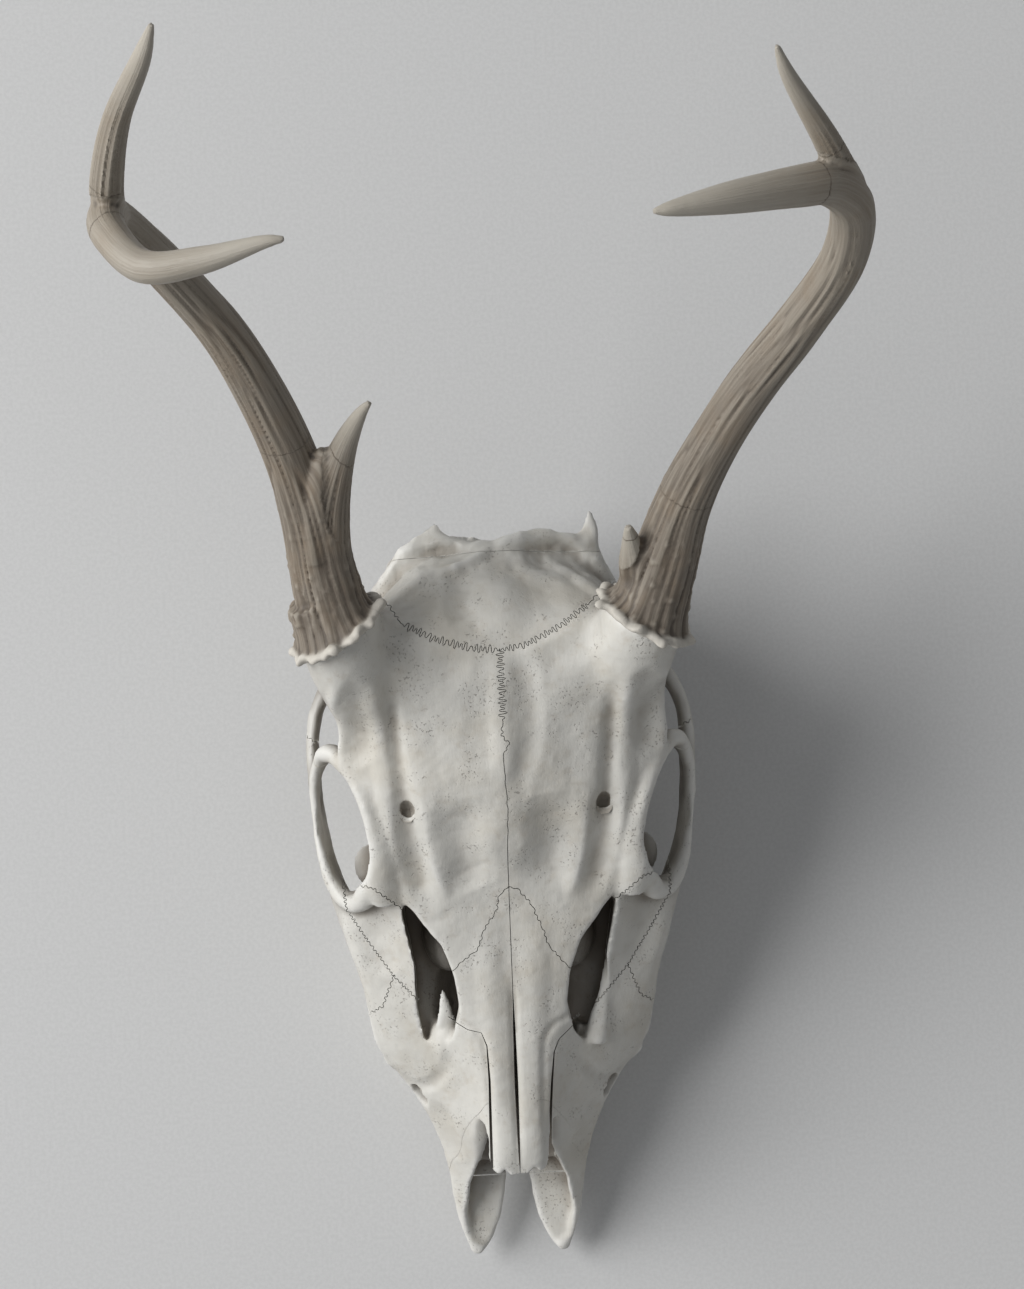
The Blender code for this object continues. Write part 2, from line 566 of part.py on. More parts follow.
def suture_walls():
    """Thin sheets along which the skull is parted."""
    half = SUTURE / 2
    walls = [
        prism("between_jaws", ((-200, -9), (-42, -9), (-42, 130), (-200, 130)), "x", -half, half,
              cutters),
        prism("between_frontals", ((-43, 58), (-20, 60), (0, 65), (19, 70), (19, 130), (-43, 130)),
              "x", -half, half, cutters),
        wall("frontal_floor", ((-79, 55), (-68, 57), (-58, 58), (-42, 59), (-20, 61), (0, 66),
                               (20, 71), (36, 71), (46, 70)), "x", -47, 47, cutters),
        wall("behind_jaws", ((-43, 60), (-44, 45), (-46.5, 30), (-46.5, -9)), "x", -42, 42,
             cutters),
        wall("coronal", ((-30, 31), (-20, 25), (-8, 20.5), (0, BREGMA[0]), (8, 20.5), (20, 25),
                         (30, 31)), "z", 70.5, 130, cutters),
        wall("occipital_joint", ((38, -9), (40, 20), (44, 45), (44, 62), (46, 70), (50, 78), (52, 100)),
             "x", -90, 90, cutters),
        wall("front_of_palate", JAW_JOINT[2:], "x", -9.5, 9.5, cutters),
    ]
    for side in (1, -1):
        def at(*pairs):
            return tuple((side * x, other) for x, other in pairs)

        def across(near, far):
            return sorted((side * near, side * far))

        walls += [
            wall(f"temporal_base_{side}", at((10.5, -9), (10.5, 33), (20, 40), (25, 52), (27, 73)),
                 "y", 4, 46, cutters),
            wall(f"temporal_front_{side}", at((9, 4), (50, 4)), "z", -9, 71, cutters),
            wall(f"nose_root_{side}", at((0, -55), (5, -60), (9, -69), (12, -76), (17, -80),
                                         (22, -83)), "z", 50, 130, cutters),
            wall(f"nose_side_{side}", at((19, -96), (14, -100), (10, -101), (9, -106),
                                         (8.7, -124), (8.2, -142)), "z", 38, 130, cutters),
            wall(f"coronal_end_{side}", at((29, 30.4), (33, 33), (40, 38), (60, 42)), "z", 70.5,
                 104, cutters),
            wall(f"tear_top_{side}", at((30.5, -67), (33, -61), (38, -57), (43, -53), (51, -51)),
                 "z", 43.9, 100, cutters),
            wall(f"tear_bottom_{side}", at((28, -93), (38, -82), (46, -70), (52, -60),
                                           (53, -46)), "z", 43.9, 100, cutters),
            prism(f"tear_floor_{side}", at((15, -93), (28, -93), (38, -82.5), (46, -70.5),
                                           (52.5, -60.5), (53.5, -44), (44, -36), (15, -43)),
                  "z", 44, 44 + SUTURE, cutters),
            wall(f"cheek_back_{side}", at((38, -83), (43, -72), (46, -58), (46, -34)), "z", 15,
                 44.2, cutters),
            wall(f"cheek_front_{side}", at((38, -82), (42, -92), (60, -102)), "z", 15, 100,
                 cutters),
            wall(f"cheek_arch_joint_{side}", at((72, 6), (62, -4), (52, -9)), "z", 20, 58, cutters),
            wall(f"bar_joint_{side}", at((46, 66), (75, 68)), "y", -30, 4, cutters),
            wall(f"premaxilla_joint_{side}", JAW_JOINT, "x", *across(8.6, 40), cutters),
        ]
    return walls


# ---------------------------------------------------------------- antlers

def antler(name, burr, axis, beam, tines):
    """A beam with its tines and the knobbly burr that rings its foot."""
    shells = [tube(name + "_beam", beam, parts)]
    shells += [tube(f"{name}_tine_{i}", tine, parts) for i, tine in enumerate(tines)]
    along = Vector(axis).normalized()
    across = along.cross(Vector((0, 0, 1))).normalized()
    up = across.cross(along)
    middle = Vector(burr) + along * 2.2
    for i in range(BURR_KNOBS):
        turn = 2 * math.pi * i / BURR_KNOBS
        out = across * math.cos(turn) + up * math.sin(turn)
        reach = BURR_RADIUS * (1 + 0.07 * math.sin(3.7 * i + 1) + 0.04 * math.cos(5.1 * i))
        shells.append(ellipsoid(f"{name}_knob_{i}", middle + out * reach, (3.6, 3.6, 3.0), parts))
    shells.append(disc(name + "_burr", burr, axis, BURR_RADIUS, -3, 4.5))
    whole = fused(name, shells, VOXEL_ANTLER, 2, parts)
    carved(whole, disc(name + "_foot", burr, axis, 30, -40, SUTURE))
    return thinned(whole, ANTLER_TRIANGLES)


def cut_across(obj, name, centre, axis, radius):
    """Parts a branch with a round cut square to an axis."""
    return carved(obj, disc(name, centre, axis, radius, -SUTURE / 2, SUTURE / 2))


def cut_at_fork(obj, name, crotch, kept, other, reach=22, half_width=12):
    """Cuts the branch that runs along kept, from the crotch to its far side, square to it."""
    kept = Vector(kept).normalized()
    other = Vector(other).normalized()
    out = (kept * kept.dot(other) - other).normalized()
    across = kept.cross(out) * half_width
    start = Vector(crotch)
    corners = (start - across, start + across, start + out * reach + across,
               start + out * reach - across)
    gap = kept * SUTURE / 2
    return carved(obj, loft(name, [[p - gap for p in corners], [p + gap for p in corners]], cutters))


# ---------------------------------------------------------------- making

parts_of_skull = blocked_in_skull() + cheek_teeth()
skull = fused("skull", parts_of_skull, VOXEL_SKULL, 3, parts)
skull = carved(skull, fused("hollow_tool", hollows(), VOXEL_HOLLOWS, 1, cutters))
skull = carved(skull, under_floor())
skull = carved(skull, disc("above_burr_left", BURR_LEFT, BURR_AXIS_LEFT, 22, 0, 60))
skull = carved(skull, disc("above_burr_right", BURR_RIGHT, BURR_AXIS_RIGHT, 22, 0, 60))
for side in (1, -1):
    skull = carved(skull, disc(f"brow_foramen_{side}", (side * BROW_FORAMEN[0], *BROW_FORAMEN[1:]),
                               (side * 0.15, 0.2, 1), 2.0, -7, 8))
skull = thinned(skull, SKULL_TRIANGLES)
for sheet in suture_walls():
    skull = carved(skull, sheet)
parted(skull, BONE_SEEDS)

right = antler("antler_right", BURR_RIGHT, BURR_AXIS_RIGHT, BEAM_RIGHT,
               (REAR_TINE_RIGHT, BROW_TINE_RIGHT))
crotch, tine, beam = (-52, 81, 151), (0.66, 0.40, 0.63), (-0.20, 0.76, 0.62)
right = cut_at_fork(right, "right_brow_cut", crotch, tine, beam)
right = cut_at_fork(right, "right_beam_cut", crotch, beam, tine, 28)
crotch, tine, beam = (-102.5, 135.5, 246), (0.22, 0.65, 0.73), (0.55, -0.61, 0.58)
right = cut_at_fork(right, "right_rear_cut", crotch, tine, beam)
right = cut_at_fork(right, "right_fore_cut", crotch, beam, tine)
parted(right, {"antler_right_base": (-55, 55, 128), "antler_right_beam": (-85, 115, 190),
               "antler_right_brow_tine": (-42, 83, 157), "antler_right_rear_tine": (-95, 158, 258),
               "antler_right_fore_tine": (-85, 118, 255)})

left = antler("antler_left", BURR_LEFT, BURR_AXIS_LEFT, BEAM_LEFT,
              (REAR_TINE_LEFT, BROW_TINE_LEFT))
left = cut_across(left, "left_brow_cut", (41.9, 45.9, 128.1), (-0.853, -0.097, 0.535), 10.5)
left = cut_across(left, "left_beam_cut", (58, 62, 134.5), (0.30, 0.75, 0.60), 13)
crotch, tine, beam = (87.7, 138.6, 250.5), (-0.43, 0.56, 0.70), (-0.80, -0.13, 0.59)
left = cut_at_fork(left, "left_rear_cut", crotch, tine, beam)
left = cut_at_fork(left, "left_fore_cut", crotch, beam, tine)
parted(left, {"antler_left_base": (51, 43, 121), "antler_left_beam": (82, 98, 176),
              "antler_left_brow_tine": (41, 49, 131), "antler_left_rear_tine": (85, 150, 258),
              "antler_left_fore_tine": (65, 128, 258)})
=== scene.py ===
"""The skull of a young white-tailed buck with its antlers, lying on a plain pale floor.

The muzzle points to -Y, the deer's left side is +X, and the floor is Z = 0, as in the frame. Sizes are
in millimetres and become metres where a mesh is made.
"""

import math

import bpy
import numpy as np
from mathutils import Matrix, Vector


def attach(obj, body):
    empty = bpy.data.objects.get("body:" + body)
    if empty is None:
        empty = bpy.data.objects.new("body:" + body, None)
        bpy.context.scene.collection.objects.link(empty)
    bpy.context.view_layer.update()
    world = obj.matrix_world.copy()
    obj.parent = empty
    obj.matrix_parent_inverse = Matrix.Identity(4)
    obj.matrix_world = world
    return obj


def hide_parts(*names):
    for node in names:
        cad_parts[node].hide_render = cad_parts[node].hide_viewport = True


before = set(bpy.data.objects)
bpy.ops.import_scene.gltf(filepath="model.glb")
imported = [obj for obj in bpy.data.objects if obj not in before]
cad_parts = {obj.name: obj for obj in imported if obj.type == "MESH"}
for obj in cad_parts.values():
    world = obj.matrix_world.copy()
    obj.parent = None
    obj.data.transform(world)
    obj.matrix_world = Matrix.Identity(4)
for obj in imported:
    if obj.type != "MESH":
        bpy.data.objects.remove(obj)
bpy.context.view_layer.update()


# ------------------------------------------------------------------------------------ camera
# A camera high over the forehead looks down on the skull, turned and tilted as the picture
# shows it. The forehead's highest point, where the sutures meet, lands on its own pixel there.

PICTURE = (1024, 1289)
BREGMA = Vector((0.0, 19.0, 106.0))
BREGMA_PIXEL = (500, 650)
FOCAL_PIXELS = 3243
DISTANCE = 1000
TURN, HEIGHT, ROLL = (math.radians(a) for a in (-1.6, 87.0, 2.7))
SENSOR = 36.0
MM = 0.001

toward = Vector((math.sin(TURN), -math.cos(HEIGHT) * math.cos(TURN), math.sin(HEIGHT) * math.cos(TURN)))
toward.normalize()
across = Vector((0, 1, 0)).cross(toward).normalized()
upward = toward.cross(across)
right = across * math.cos(ROLL) - upward * math.sin(ROLL)
upward = across * math.sin(ROLL) + upward * math.cos(ROLL)
aside = (BREGMA_PIXEL[0] - PICTURE[0] / 2) / FOCAL_PIXELS * DISTANCE
above = (PICTURE[1] / 2 - BREGMA_PIXEL[1]) / FOCAL_PIXELS * DISTANCE
place = (BREGMA - right * aside - upward * above + toward * DISTANCE) * MM
bpy.ops.object.camera_add(location=place)
camera = bpy.context.object
camera.name = "camera"
camera.rotation_euler = Matrix((right, upward, toward)).transposed().to_euler()
camera.data.sensor_width = SENSOR
camera.data.lens = SENSOR * FOCAL_PIXELS / PICTURE[1]
camera.data.clip_start = 0.05
bpy.context.scene.camera = camera


# ------------------------------------------------------------------------------------ floor
# A plain, pale, matt surface that runs past every edge of the picture.

FLOOR_HALF = 5.0     # in metres
FLOOR_DARK, FLOOR_PALE = (0.60, 0.60, 0.595), (0.64, 0.64, 0.635)


class Wire:
    """A node's output that takes part in sums; each sum adds a Math node."""

    def __init__(self, finish, socket):
        self.finish = finish
        self.socket = socket

    def maths(self, operation, *values):
        return self.finish.node("ShaderNodeMath", {"operation": operation},
                                dict(enumerate(values)))

    def __add__(self, other):
        return self.maths("ADD", self, other)

    def __radd__(self, other):
        return self.maths("ADD", other, self)

    def __sub__(self, other):
        return self.maths("SUBTRACT", self, other)

    def __rsub__(self, other):
        return self.maths("SUBTRACT", other, self)

    def __mul__(self, other):
        return self.maths("MULTIPLY", self, other)

    def __rmul__(self, other):
        return self.maths("MULTIPLY", other, self)

    def between(self, low, high):
        """0 below low and 1 above high, with a soft step."""
        return self.finish.node("ShaderNodeMapRange", {"interpolation_type": "SMOOTHSTEP"},
                                {"Value": self, "From Min": low, "From Max": high})


class Finish:
    """A material whose nodes are added one by one to its Principled shader."""

    def __init__(self, name, roughness):
        self.material = bpy.data.materials.new(name)
        self.material.use_nodes = True
        self.tree = self.material.node_tree
        self.shader = self.tree.nodes["Principled BSDF"]
        self.shader.inputs["Roughness"].default_value = roughness
        self.place = self.node("ShaderNodeTexCoord", out="Object")

    def node(self, kind, settings=(), sockets=(), out=0):
        made = self.tree.nodes.new(kind)
        for name, value in dict(settings).items():
            setattr(made, name, value)
        for name, value in dict(sockets).items():
            self.join(value, made.inputs[name])
        return Wire(self, made.outputs[out])

    def join(self, value, socket):
        if isinstance(value, Wire):
            self.tree.links.new(value.socket, socket)
        elif hasattr(value, "__len__") and len(value) == 3 and socket.type == "RGBA":
            socket.default_value = (*value, 1)
        else:
            socket.default_value = value

    def cloud(self, size, detail=3.0, roughness=0.55, stretch=(1, 1, 1)):
        """Noise whose blotches are about size millimetres across, longer where stretch is small."""
        spot = self.node("ShaderNodeMapping", {}, {"Vector": self.place, "Scale": stretch})
        return self.node("ShaderNodeTexNoise", {},
                         {"Vector": spot, "Scale": 1 / (size * MM), "Detail": detail,
                          "Roughness": roughness})

    def tint(self, amount, first, second, blend="MIX"):
        """The first colour where amount is 0 and the second where it is 1."""
        return self.node("ShaderNodeMix", {"data_type": "RGBA", "blend_type": blend},
                         {0: amount, 6: first, 7: second}, 2)

    def attribute(self, name):
        return self.node("ShaderNodeAttribute", {"attribute_name": name}, out="Fac")

    def surface(self, colour, height=None, depth=0.2, roughness=None):
        """Sends colour, a height in millimetres and a roughness to the shader."""
        self.join(colour, self.shader.inputs["Base Color"])
        if roughness is not None:
            self.join(roughness, self.shader.inputs["Roughness"])
        if height is not None:
            bump = self.node("ShaderNodeBump", {},
                             {"Strength": 1.0, "Distance": depth * MM, "Height": height})
            self.join(bump, self.shader.inputs["Normal"])
        return self.material


bpy.ops.object.select_all(action="DESELECT")
bpy.ops.mesh.primitive_plane_add(size=2 * FLOOR_HALF)
floor = bpy.context.object
floor.name = "floor"
matt = Finish("pale_floor", 0.85)
speck = matt.cloud(1.2, 2.0).between(0.3, 0.7)
floor.data.materials.append(matt.surface(matt.tint(speck, FLOOR_DARK, FLOOR_PALE)))


# ------------------------------------------------------------------------------------ light
# Plain soft studio light: one large lamp high at the picture's left and a weak even fill.

def lamp(name, place, size, power):
    """A square area lamp that faces the skull, in metres and watts."""
    bpy.ops.object.light_add(type="AREA", location=place)
    made = bpy.context.object
    made.name = name
    made.data.size = size
    made.data.energy = power
    made.rotation_euler = (-Vector(place)).to_track_quat("-Z", "Y").to_euler()


lamp("window", (-2.2, 0.5, 1.62), 2.0, 88)
lamp("fill", (0.5, -1.2, 1.6), 1.6, 1.5)
world = bpy.data.worlds.new("room")
world.use_nodes = True
sky = world.node_tree.nodes["Background"].inputs
sky["Color"].default_value = (0.95, 0.97, 1.0, 1)
sky["Strength"].default_value = 0.22
bpy.context.scene.world = world
bpy.context.scene.view_settings.view_transform = "Standard"


# ------------------------------------------------------------------------------------ skull mass
# The skull grows as one mass of bone before it is parted. It is blocked in here, in clay as it
# were, from a long core with the arches, rims, crests and knobs laid on it, and then fused.

SKULL_FRONT, SKULL_BACK = -178.0, 52.0
FINE = 0.8            # corner spacing of the first skin
SKIN_RELAX = 10

# Lines down the left half, as (y, x, z) from the muzzle to the back of the head
CROWN = ((-180, 0, 12), (-165, 0, 30), (-150, 0, 46), (-125, 0, 53), (-100, 0, 60.5), (-55, 0, 75),
         (-28, 0, 92), (0, 0, 101.5), (19, 0, 106), (36, 0, 101), (52, 0, 87))
SHOULDER = ((-180, 5, 12), (-150, 8, 44.5), (-125, 9, 51.5), (-104, 13, 57.5), (-90, 19, 61),
            (-72, 24, 67), (-57, 33, 71.5), (-40, 40, 79), (-25, 44.5, 83.5), (-12, 49, 86),
            (2, 49, 96), (14, 47, 107), (22, 44, 110), (36, 33, 96), (52, 19, 82))
FLANK = ((-180, 12, 11), (-165, 16, 19), (-148, 12.5, 31), (-133, 13, 43), (-120, 16, 46),
         (-106, 22, 49), (-90, 30, 52), (-72, 38, 56), (-57, 45, 57), (-42, 37, 70), (-25, 40, 76),
         (-12, 45, 77), (2, 46, 84), (14, 46, 92), (22, 42, 90), (36, 37, 77), (52, 29, 66))
SIDE = ((-180, 16, 10), (-165, 20.5, 14), (-145, 23.5, 21), (-130, 29, 25), (-118, 36, 28),
        (-108, 43, 31), (-95, 46.5, 37), (-80, 50, 42), (-65, 54, 46), (-58, 54, 48), (-44, 26, 54),
        (-28, 18, 58), (-10, 22, 62), (5, 31, 66), (20, 36, 66), (38, 36, 60), (52, 28, 50))
GUM = ((-180, 13, 8), (-165, 16, 8.5), (-145, 17, 11), (-125, 21, 13.5), (-112, 26, 14.5),
       (-98, 31, 15.5), (-75, 33, 17), (-55, 34, 20), (-42, 26, 26), (-28, 18, 32), (-10, 20, 36),
       (10, 24, 38), (25, 26, 37), (45, 24, 36), (52, 21, 34))
PALATE_EDGE = ((-180, 7, 8), (-165, 9, 9), (-145, 10, 12), (-125, 13, 14), (-112, 15, 15),
               (-95, 17, 15.5), (-50, 19, 17), (-42, 14, 22), (-28, 11, 27), (25, 11, 27),
               (50, 10, 29))
PALATE = ((-180, 0, 10), (-165, 0, 11), (-145, 0, 14), (-120, 0, 18), (-90, 0, 21), (-60, 0, 22),
          (-42, 0, 25), (-20, 0, 28), (25, 0, 27.5), (52, 0, 30))


def on_line(knots, y):
    """(x, z) of a line at y, with slopes that never overshoot its knots."""
    ys, *columns = np.array(knots, float).T
    at = min(max(y, ys[0]), ys[-1])
    i = min(int(np.searchsorted(ys, at, side="right")) - 1, len(ys) - 2)
    span = ys[i + 1] - ys[i]
    t = (at - ys[i]) / span
    found = []
    for values in columns:
        rises = np.diff(values) / np.diff(ys)
        before, after = rises[:-1], rises[1:]
        limits = 3 * np.minimum(np.abs(before), np.abs(after))
        inner = np.where(before * after > 0, np.clip((before + after) / 2, -limits, limits), 0)
        slopes = np.concatenate([rises[:1], inner, rises[-1:]])
        found.append((2 * t**3 - 3 * t**2 + 1) * values[i]
                     + (t**3 - 2 * t**2 + t) * span * slopes[i]
                     + (3 * t**2 - 2 * t**3) * values[i + 1]
                     + (t**3 - t**2) * span * slopes[i + 1])
    return found


def glide(a, b, c, d, t):
    """A point on a smooth curve from b, at t = 0, to c, at t = 1, that comes from a and goes on to d."""
    return 0.5 * (2 * b + (c - a) * t + (2 * a - 5 * b + 4 * c - d) * t**2
                  + (3 * b - a - 3 * c + d) * t**3)


def curve_through(points, steps):
    """Points along a smooth curve through the given ones."""
    knots = [Vector(p) for p in points]
    knots = [2 * knots[0] - knots[1]] + knots + [2 * knots[-1] - knots[-2]]
    return [glide(*four, step / steps) for four in zip(knots, knots[1:], knots[2:], knots[3:])
            for step in range(steps)] + [knots[-2]]


def only(obj, *others):
    """Selects these objects alone, and makes the first the active one."""
    bpy.ops.object.select_all(action="DESELECT")
    for each in (obj, *others):
        each.select_set(True)
    bpy.context.view_layer.objects.active = obj


def face_outwards(obj):
    """Turns the faces of a closed mesh outwards."""
    only(obj)
    bpy.ops.object.mode_set(mode="EDIT")
    bpy.ops.mesh.select_all(action="SELECT")
    bpy.ops.mesh.normals_make_consistent(inside=False)
    bpy.ops.object.mode_set(mode="OBJECT")


def add_piece(name, points, faces):
    """A mesh object from points in millimetres, with its faces turned outwards."""
    mesh = bpy.data.meshes.new(name)
    mesh.from_pydata([Vector(p) * MM for p in points], [], faces)
    made = bpy.data.objects.new(name, mesh)
    bpy.context.scene.collection.objects.link(made)
    face_outwards(made)
    if inner_volume(mesh) < 0:
        mesh.flip_normals()
    return made


def inner_volume(mesh):
    """The signed room inside a mesh; it is below zero where the faces look inwards."""
    mesh.calc_loop_triangles()
    total = 0.0
    for triangle in mesh.loop_triangles:
        a, b, c = (mesh.vertices[i].co for i in triangle.vertices)
        total += a.dot(b.cross(c))
    return total


def loft(name, rings):
    """A closed solid through rings of equal point counts, capped at both ends."""
    size = len(rings[0])
    faces = [(r * size + i, r * size + (i + 1) % size, (r + 1) * size + (i + 1) % size,
              (r + 1) * size + i) for r in range(len(rings) - 1) for i in range(size)]
    faces.append(tuple(reversed(range(size))))
    faces.append(tuple(range((len(rings) - 1) * size, len(rings) * size)))
    return add_piece(name, [p for ring in rings for p in ring], faces)


def section_loft(name, lines, first, last, count, steps=6):
    """A loft of cross-sections that pass through the lines, the same on both sides."""
    rings = []
    for y in np.linspace(first, last, count):
        half = [Vector((x, y, z)) for x, z in (on_line(line, y) for line in lines)]
        whole = half + [Vector((-p.x, p.y, p.z)) for p in reversed(half[1:-1])]
        size = len(whole)
        rings.append([glide(*(whole[(i + k) % size] for k in (-1, 0, 1, 2)), step / steps)
                      for i in range(size) for step in range(steps)])
    return loft(name, rings)


def angles(count):
    """Even angles of a full turn."""
    return [2 * math.pi * k / count for k in range(count)]


def strap(name, path, steps=8, sides=20):
    """A sweep of upright ellipses: path holds (x, y, z, half width, half height)."""
    points = curve_through([p[:3] for p in path], steps)
    radii = curve_through([(p[3], p[4], 0) for p in path], steps)
    rings = []
    for i, (point, radius) in enumerate(zip(points, radii)):
        ahead = points[min(i + 1, len(points) - 1)] - points[max(i - 1, 0)]
        ahead.normalize()
        sideways = ahead.cross(Vector((0, 0, 1)))
        if sideways.length < 0.2:
            sideways = ahead.cross(Vector((0, 1, 0)))
        sideways.normalize()
        up = sideways.cross(ahead)
        rings.append([point + sideways * radius.x * math.cos(a) + up * radius.y * math.sin(a)
                      for a in angles(sides)])
    return loft(name, rings)


def rod(name, path, steps=8, sides=20):
    """A round tapered sweep: path holds (x, y, z, radius)."""
    return strap(name, [(*p, p[3]) for p in path], steps, sides)


def ball(name, centre, radii, turn=(0, 0, 0)):
    """A ball stretched to three radii; turn is in degrees about x, y and z."""
    bpy.ops.object.select_all(action="DESELECT")
    bpy.ops.mesh.primitive_uv_sphere_add(segments=40, ring_count=20, radius=MM)
    made = bpy.context.object
    made.name = name
    made.scale = radii
    made.rotation_euler = [math.radians(a) for a in turn]
    made.location = Vector(centre) * MM
    bpy.ops.object.transform_apply()
    return made


def prism(name, outline, axis, low, high):
    """A flat outline pushed along an axis; it gives the other two coordinates in order."""
    def put(pair, level):
        values = list(pair)
        values.insert("xyz".index(axis), level)
        return values
    return loft(name, [[put(p, low) for p in outline], [put(p, high) for p in outline]])


def mirrored(obj):
    """A copy on the other side of the skull, its faces turned outwards again."""
    only(obj)
    bpy.ops.object.duplicate()
    copy = bpy.context.object
    copy.scale.x = -1
    bpy.ops.object.transform_apply()
    face_outwards(copy)
    return copy


def both(make, *details, **more):
    """A piece and its copy on the other side."""
    one = make(*details, **more)
    return [one, mirrored(one)]


def modify(obj, kind, **settings):
    """Adds a modifier and applies it."""
    only(obj)
    change = obj.modifiers.new(kind.lower(), kind)
    for name, value in settings.items():
        setattr(change, name, value)
    bpy.ops.object.modifier_apply(modifier=change.name)
    return obj


def fused(name, pieces, spacing, relax):
    """One skin over many overlapping pieces, relaxed where they meet."""
    only(*pieces)
    bpy.ops.object.join()
    whole = bpy.context.object
    whole.name = name
    modify(whole, "REMESH", mode="VOXEL", voxel_size=spacing * MM)
    return modify(whole, "SMOOTH", factor=0.5, iterations=relax)


def cut(obj, tool):
    """Takes the tool's shape out of the object. MANIFOLD, as EXACT leaves scraps in such forms."""
    modify(obj, "BOOLEAN", operation="DIFFERENCE", solver="MANIFOLD", object=tool)
    bpy.data.objects.remove(tool)
    return obj


def corners_of(mesh):
    """A mesh's corners in millimetres, a row for each."""
    found = np.empty(len(mesh.vertices) * 3)
    mesh.vertices.foreach_get("co", found)
    return found.reshape(-1, 3) / MM


mass = [section_loft("core", (CROWN, SHOULDER, FLANK, SIDE, GUM, PALATE_EDGE, PALATE),
                     SKULL_FRONT, SKULL_BACK, 130)]
mass += both(strap, "cheek_arch", (
    (44, -84, 38, 4, 8), (51, -64, 42, 4, 8), (57, -46, 42, 2.6, 7), (60, -30, 43, 2.4, 7),
    (61, -14, 44, 2.4, 6.5), (60.5, 0, 44, 2.4, 5.5), (56, 11, 44, 3, 5), (46, 19, 45, 6, 5),
    (36, 22, 47, 6, 6)))
mass += both(strap, "orbit_rim", (
    (41, -50, 73, 4, 4), (44, -54, 67, 4.2, 4), (48.5, -58, 58, 3.5, 4), (54, -55, 51, 3, 4),
    (58.5, -45, 49, 2, 4), (60.5, -30, 51, 1.8, 3.5), (60.5, -18, 56, 2.2, 4), (57.5, -11, 64, 2.6, 4.5),
    (53.5, -10, 74, 3, 4.5), (48, -16, 82, 3, 3)))
mass += both(strap, "brow", (
    (50, -12, 81, 3, 3), (44, -26, 83, 2.6, 2.4), (40.5, -40, 79, 3.4, 2.6), (40, -50, 74, 5, 3),
    (38, -58, 68, 5, 3)))
mass.append(rod("pedicle_left", ((36, -4, 78, 8), (38.5, 8, 91, 12), (41.5, 18, 103.5, 13.2),
                                 (44, 26, 110.5, 13.6), (48, 33, 115, 13.6))))
mass.append(rod("pedicle_right", ((-40, -4, 78, 8), (-43, 8, 91, 12), (-46.5, 18.5, 103.5, 13.2),
                                  (-49, 26.5, 110.5, 13.6), (-53, 33, 115, 13.6))))
mass += both(strap, "nuchal_crest", (
    (40, 20, 60, 3, 4), (39.5, 30, 68, 3, 4), (35, 42, 75, 3, 4), (27, 53, 79, 3, 4),
    (15, 55, 81, 3, 4.5), (0, 51, 84, 3, 5)))
mass += both(ball, "condyle", (13, 52.5, 37), (8.5, 8.5, 12), turn=(0, -25, 0))
mass += both(strap, "paroccipital", (
    (25, 46, 42, 6, 6), (24.5, 48, 28, 5, 4.5), (23, 48, 14, 3.6, 4.2), (21.5, 46.6, 0.2, 3.2, 3.6)))
mass += both(ball, "bulla", (19.5, 27, 24), (7.5, 13, 10), turn=(0, 10, -18))
mass += both(ball, "jaw_socket", (38, 14, 42), (11, 9, 4))
mass += both(strap, "pterygoid", (
    (13, -50, 24, 1.8, 8), (11.5, -34, 23, 1.5, 9), (10.5, -18, 24, 1.4, 7), (10.5, -4, 28, 1.6, 4)))
mass += both(ball, "tear_bulla", (30, -52, 38), (9, 12, 10))
mass.append(ball("occiput", (0, 34, 58), (34, 20, 27)))
mass += both(ball, "nape", (21, 45, 71), (14, 10, 9.5))
mass.append(strap("crest_spike", (
    (27, 46, 78, 6, 3), (29.5, 53, 79.5, 4.6, 1.8), (31, 59, 80, 2.6, 1.2), (31, 64.5, 80, 0.8, 0.8))))
mass.append(strap("crest_wing", ((-27, 46, 79, 5, 2.5), (-24, 53, 81, 5, 1.8), (-16, 60.5, 82, 3, 1.2))))
skull = fused("skull", mass, FINE, SKIN_RELAX)

# Each burr has a foot and an axis. The bone runs smoothly up to it: the nearer, the more it is relaxed
BURRS = {"left": ((44, 26, 112), (0.48, 0.78, 0.40)), "right": ((-49, 26.5, 112), (-0.50, 0.76, 0.42))}
MELT_BANDS, MELT_REACH, MELT_STEP = 5, 28, 4
for side, (foot, _) in BURRS.items():
    melt = skull.vertex_groups.new(name="melt_" + side)
    heart = (foot[0] * 0.84, foot[1] - 12, 100)     # inside the pedicle, under the burr
    far = np.linalg.norm(corners_of(skull.data) - heart, axis=1)
    for band in range(MELT_BANDS):
        inside = np.flatnonzero(far < MELT_REACH - MELT_STEP * band).tolist()
        melt.add(inside, (band + 1) / MELT_BANDS, "REPLACE")
    modify(skull, "SMOOTH", factor=1.0, iterations=70, vertex_group=melt.name)


# ------------------------------------------------------------------------------------ hollows
# What opens into the skull: the nose behind its aperture, the pits before the eyes, the orbits,
# the slots in the palate, the throat, the ears, the brain's way out and the small foramina. The
# thin scrolls and plates that hang inside the nose are laid in afterwards.

NOSE_ROOF = ((-150, 0, 40), (-125, 0, 48), (-100, 0, 55), (-75, 0, 62), (-50, 0, 62))
NOSE_SIDE = ((-150, 13, 26), (-130, 14, 32), (-110, 21, 40), (-90, 27, 46), (-75, 27, 50),
             (-60, 20, 52), (-50, 12, 54))
NOSE_FLOOR = ((-150, 0, 17), (-125, 0, 22), (-95, 0, 27), (-75, 0, 30), (-60, 0, 36), (-50, 0, 46))
FINER = 0.8           # corner spacing of the finished skin

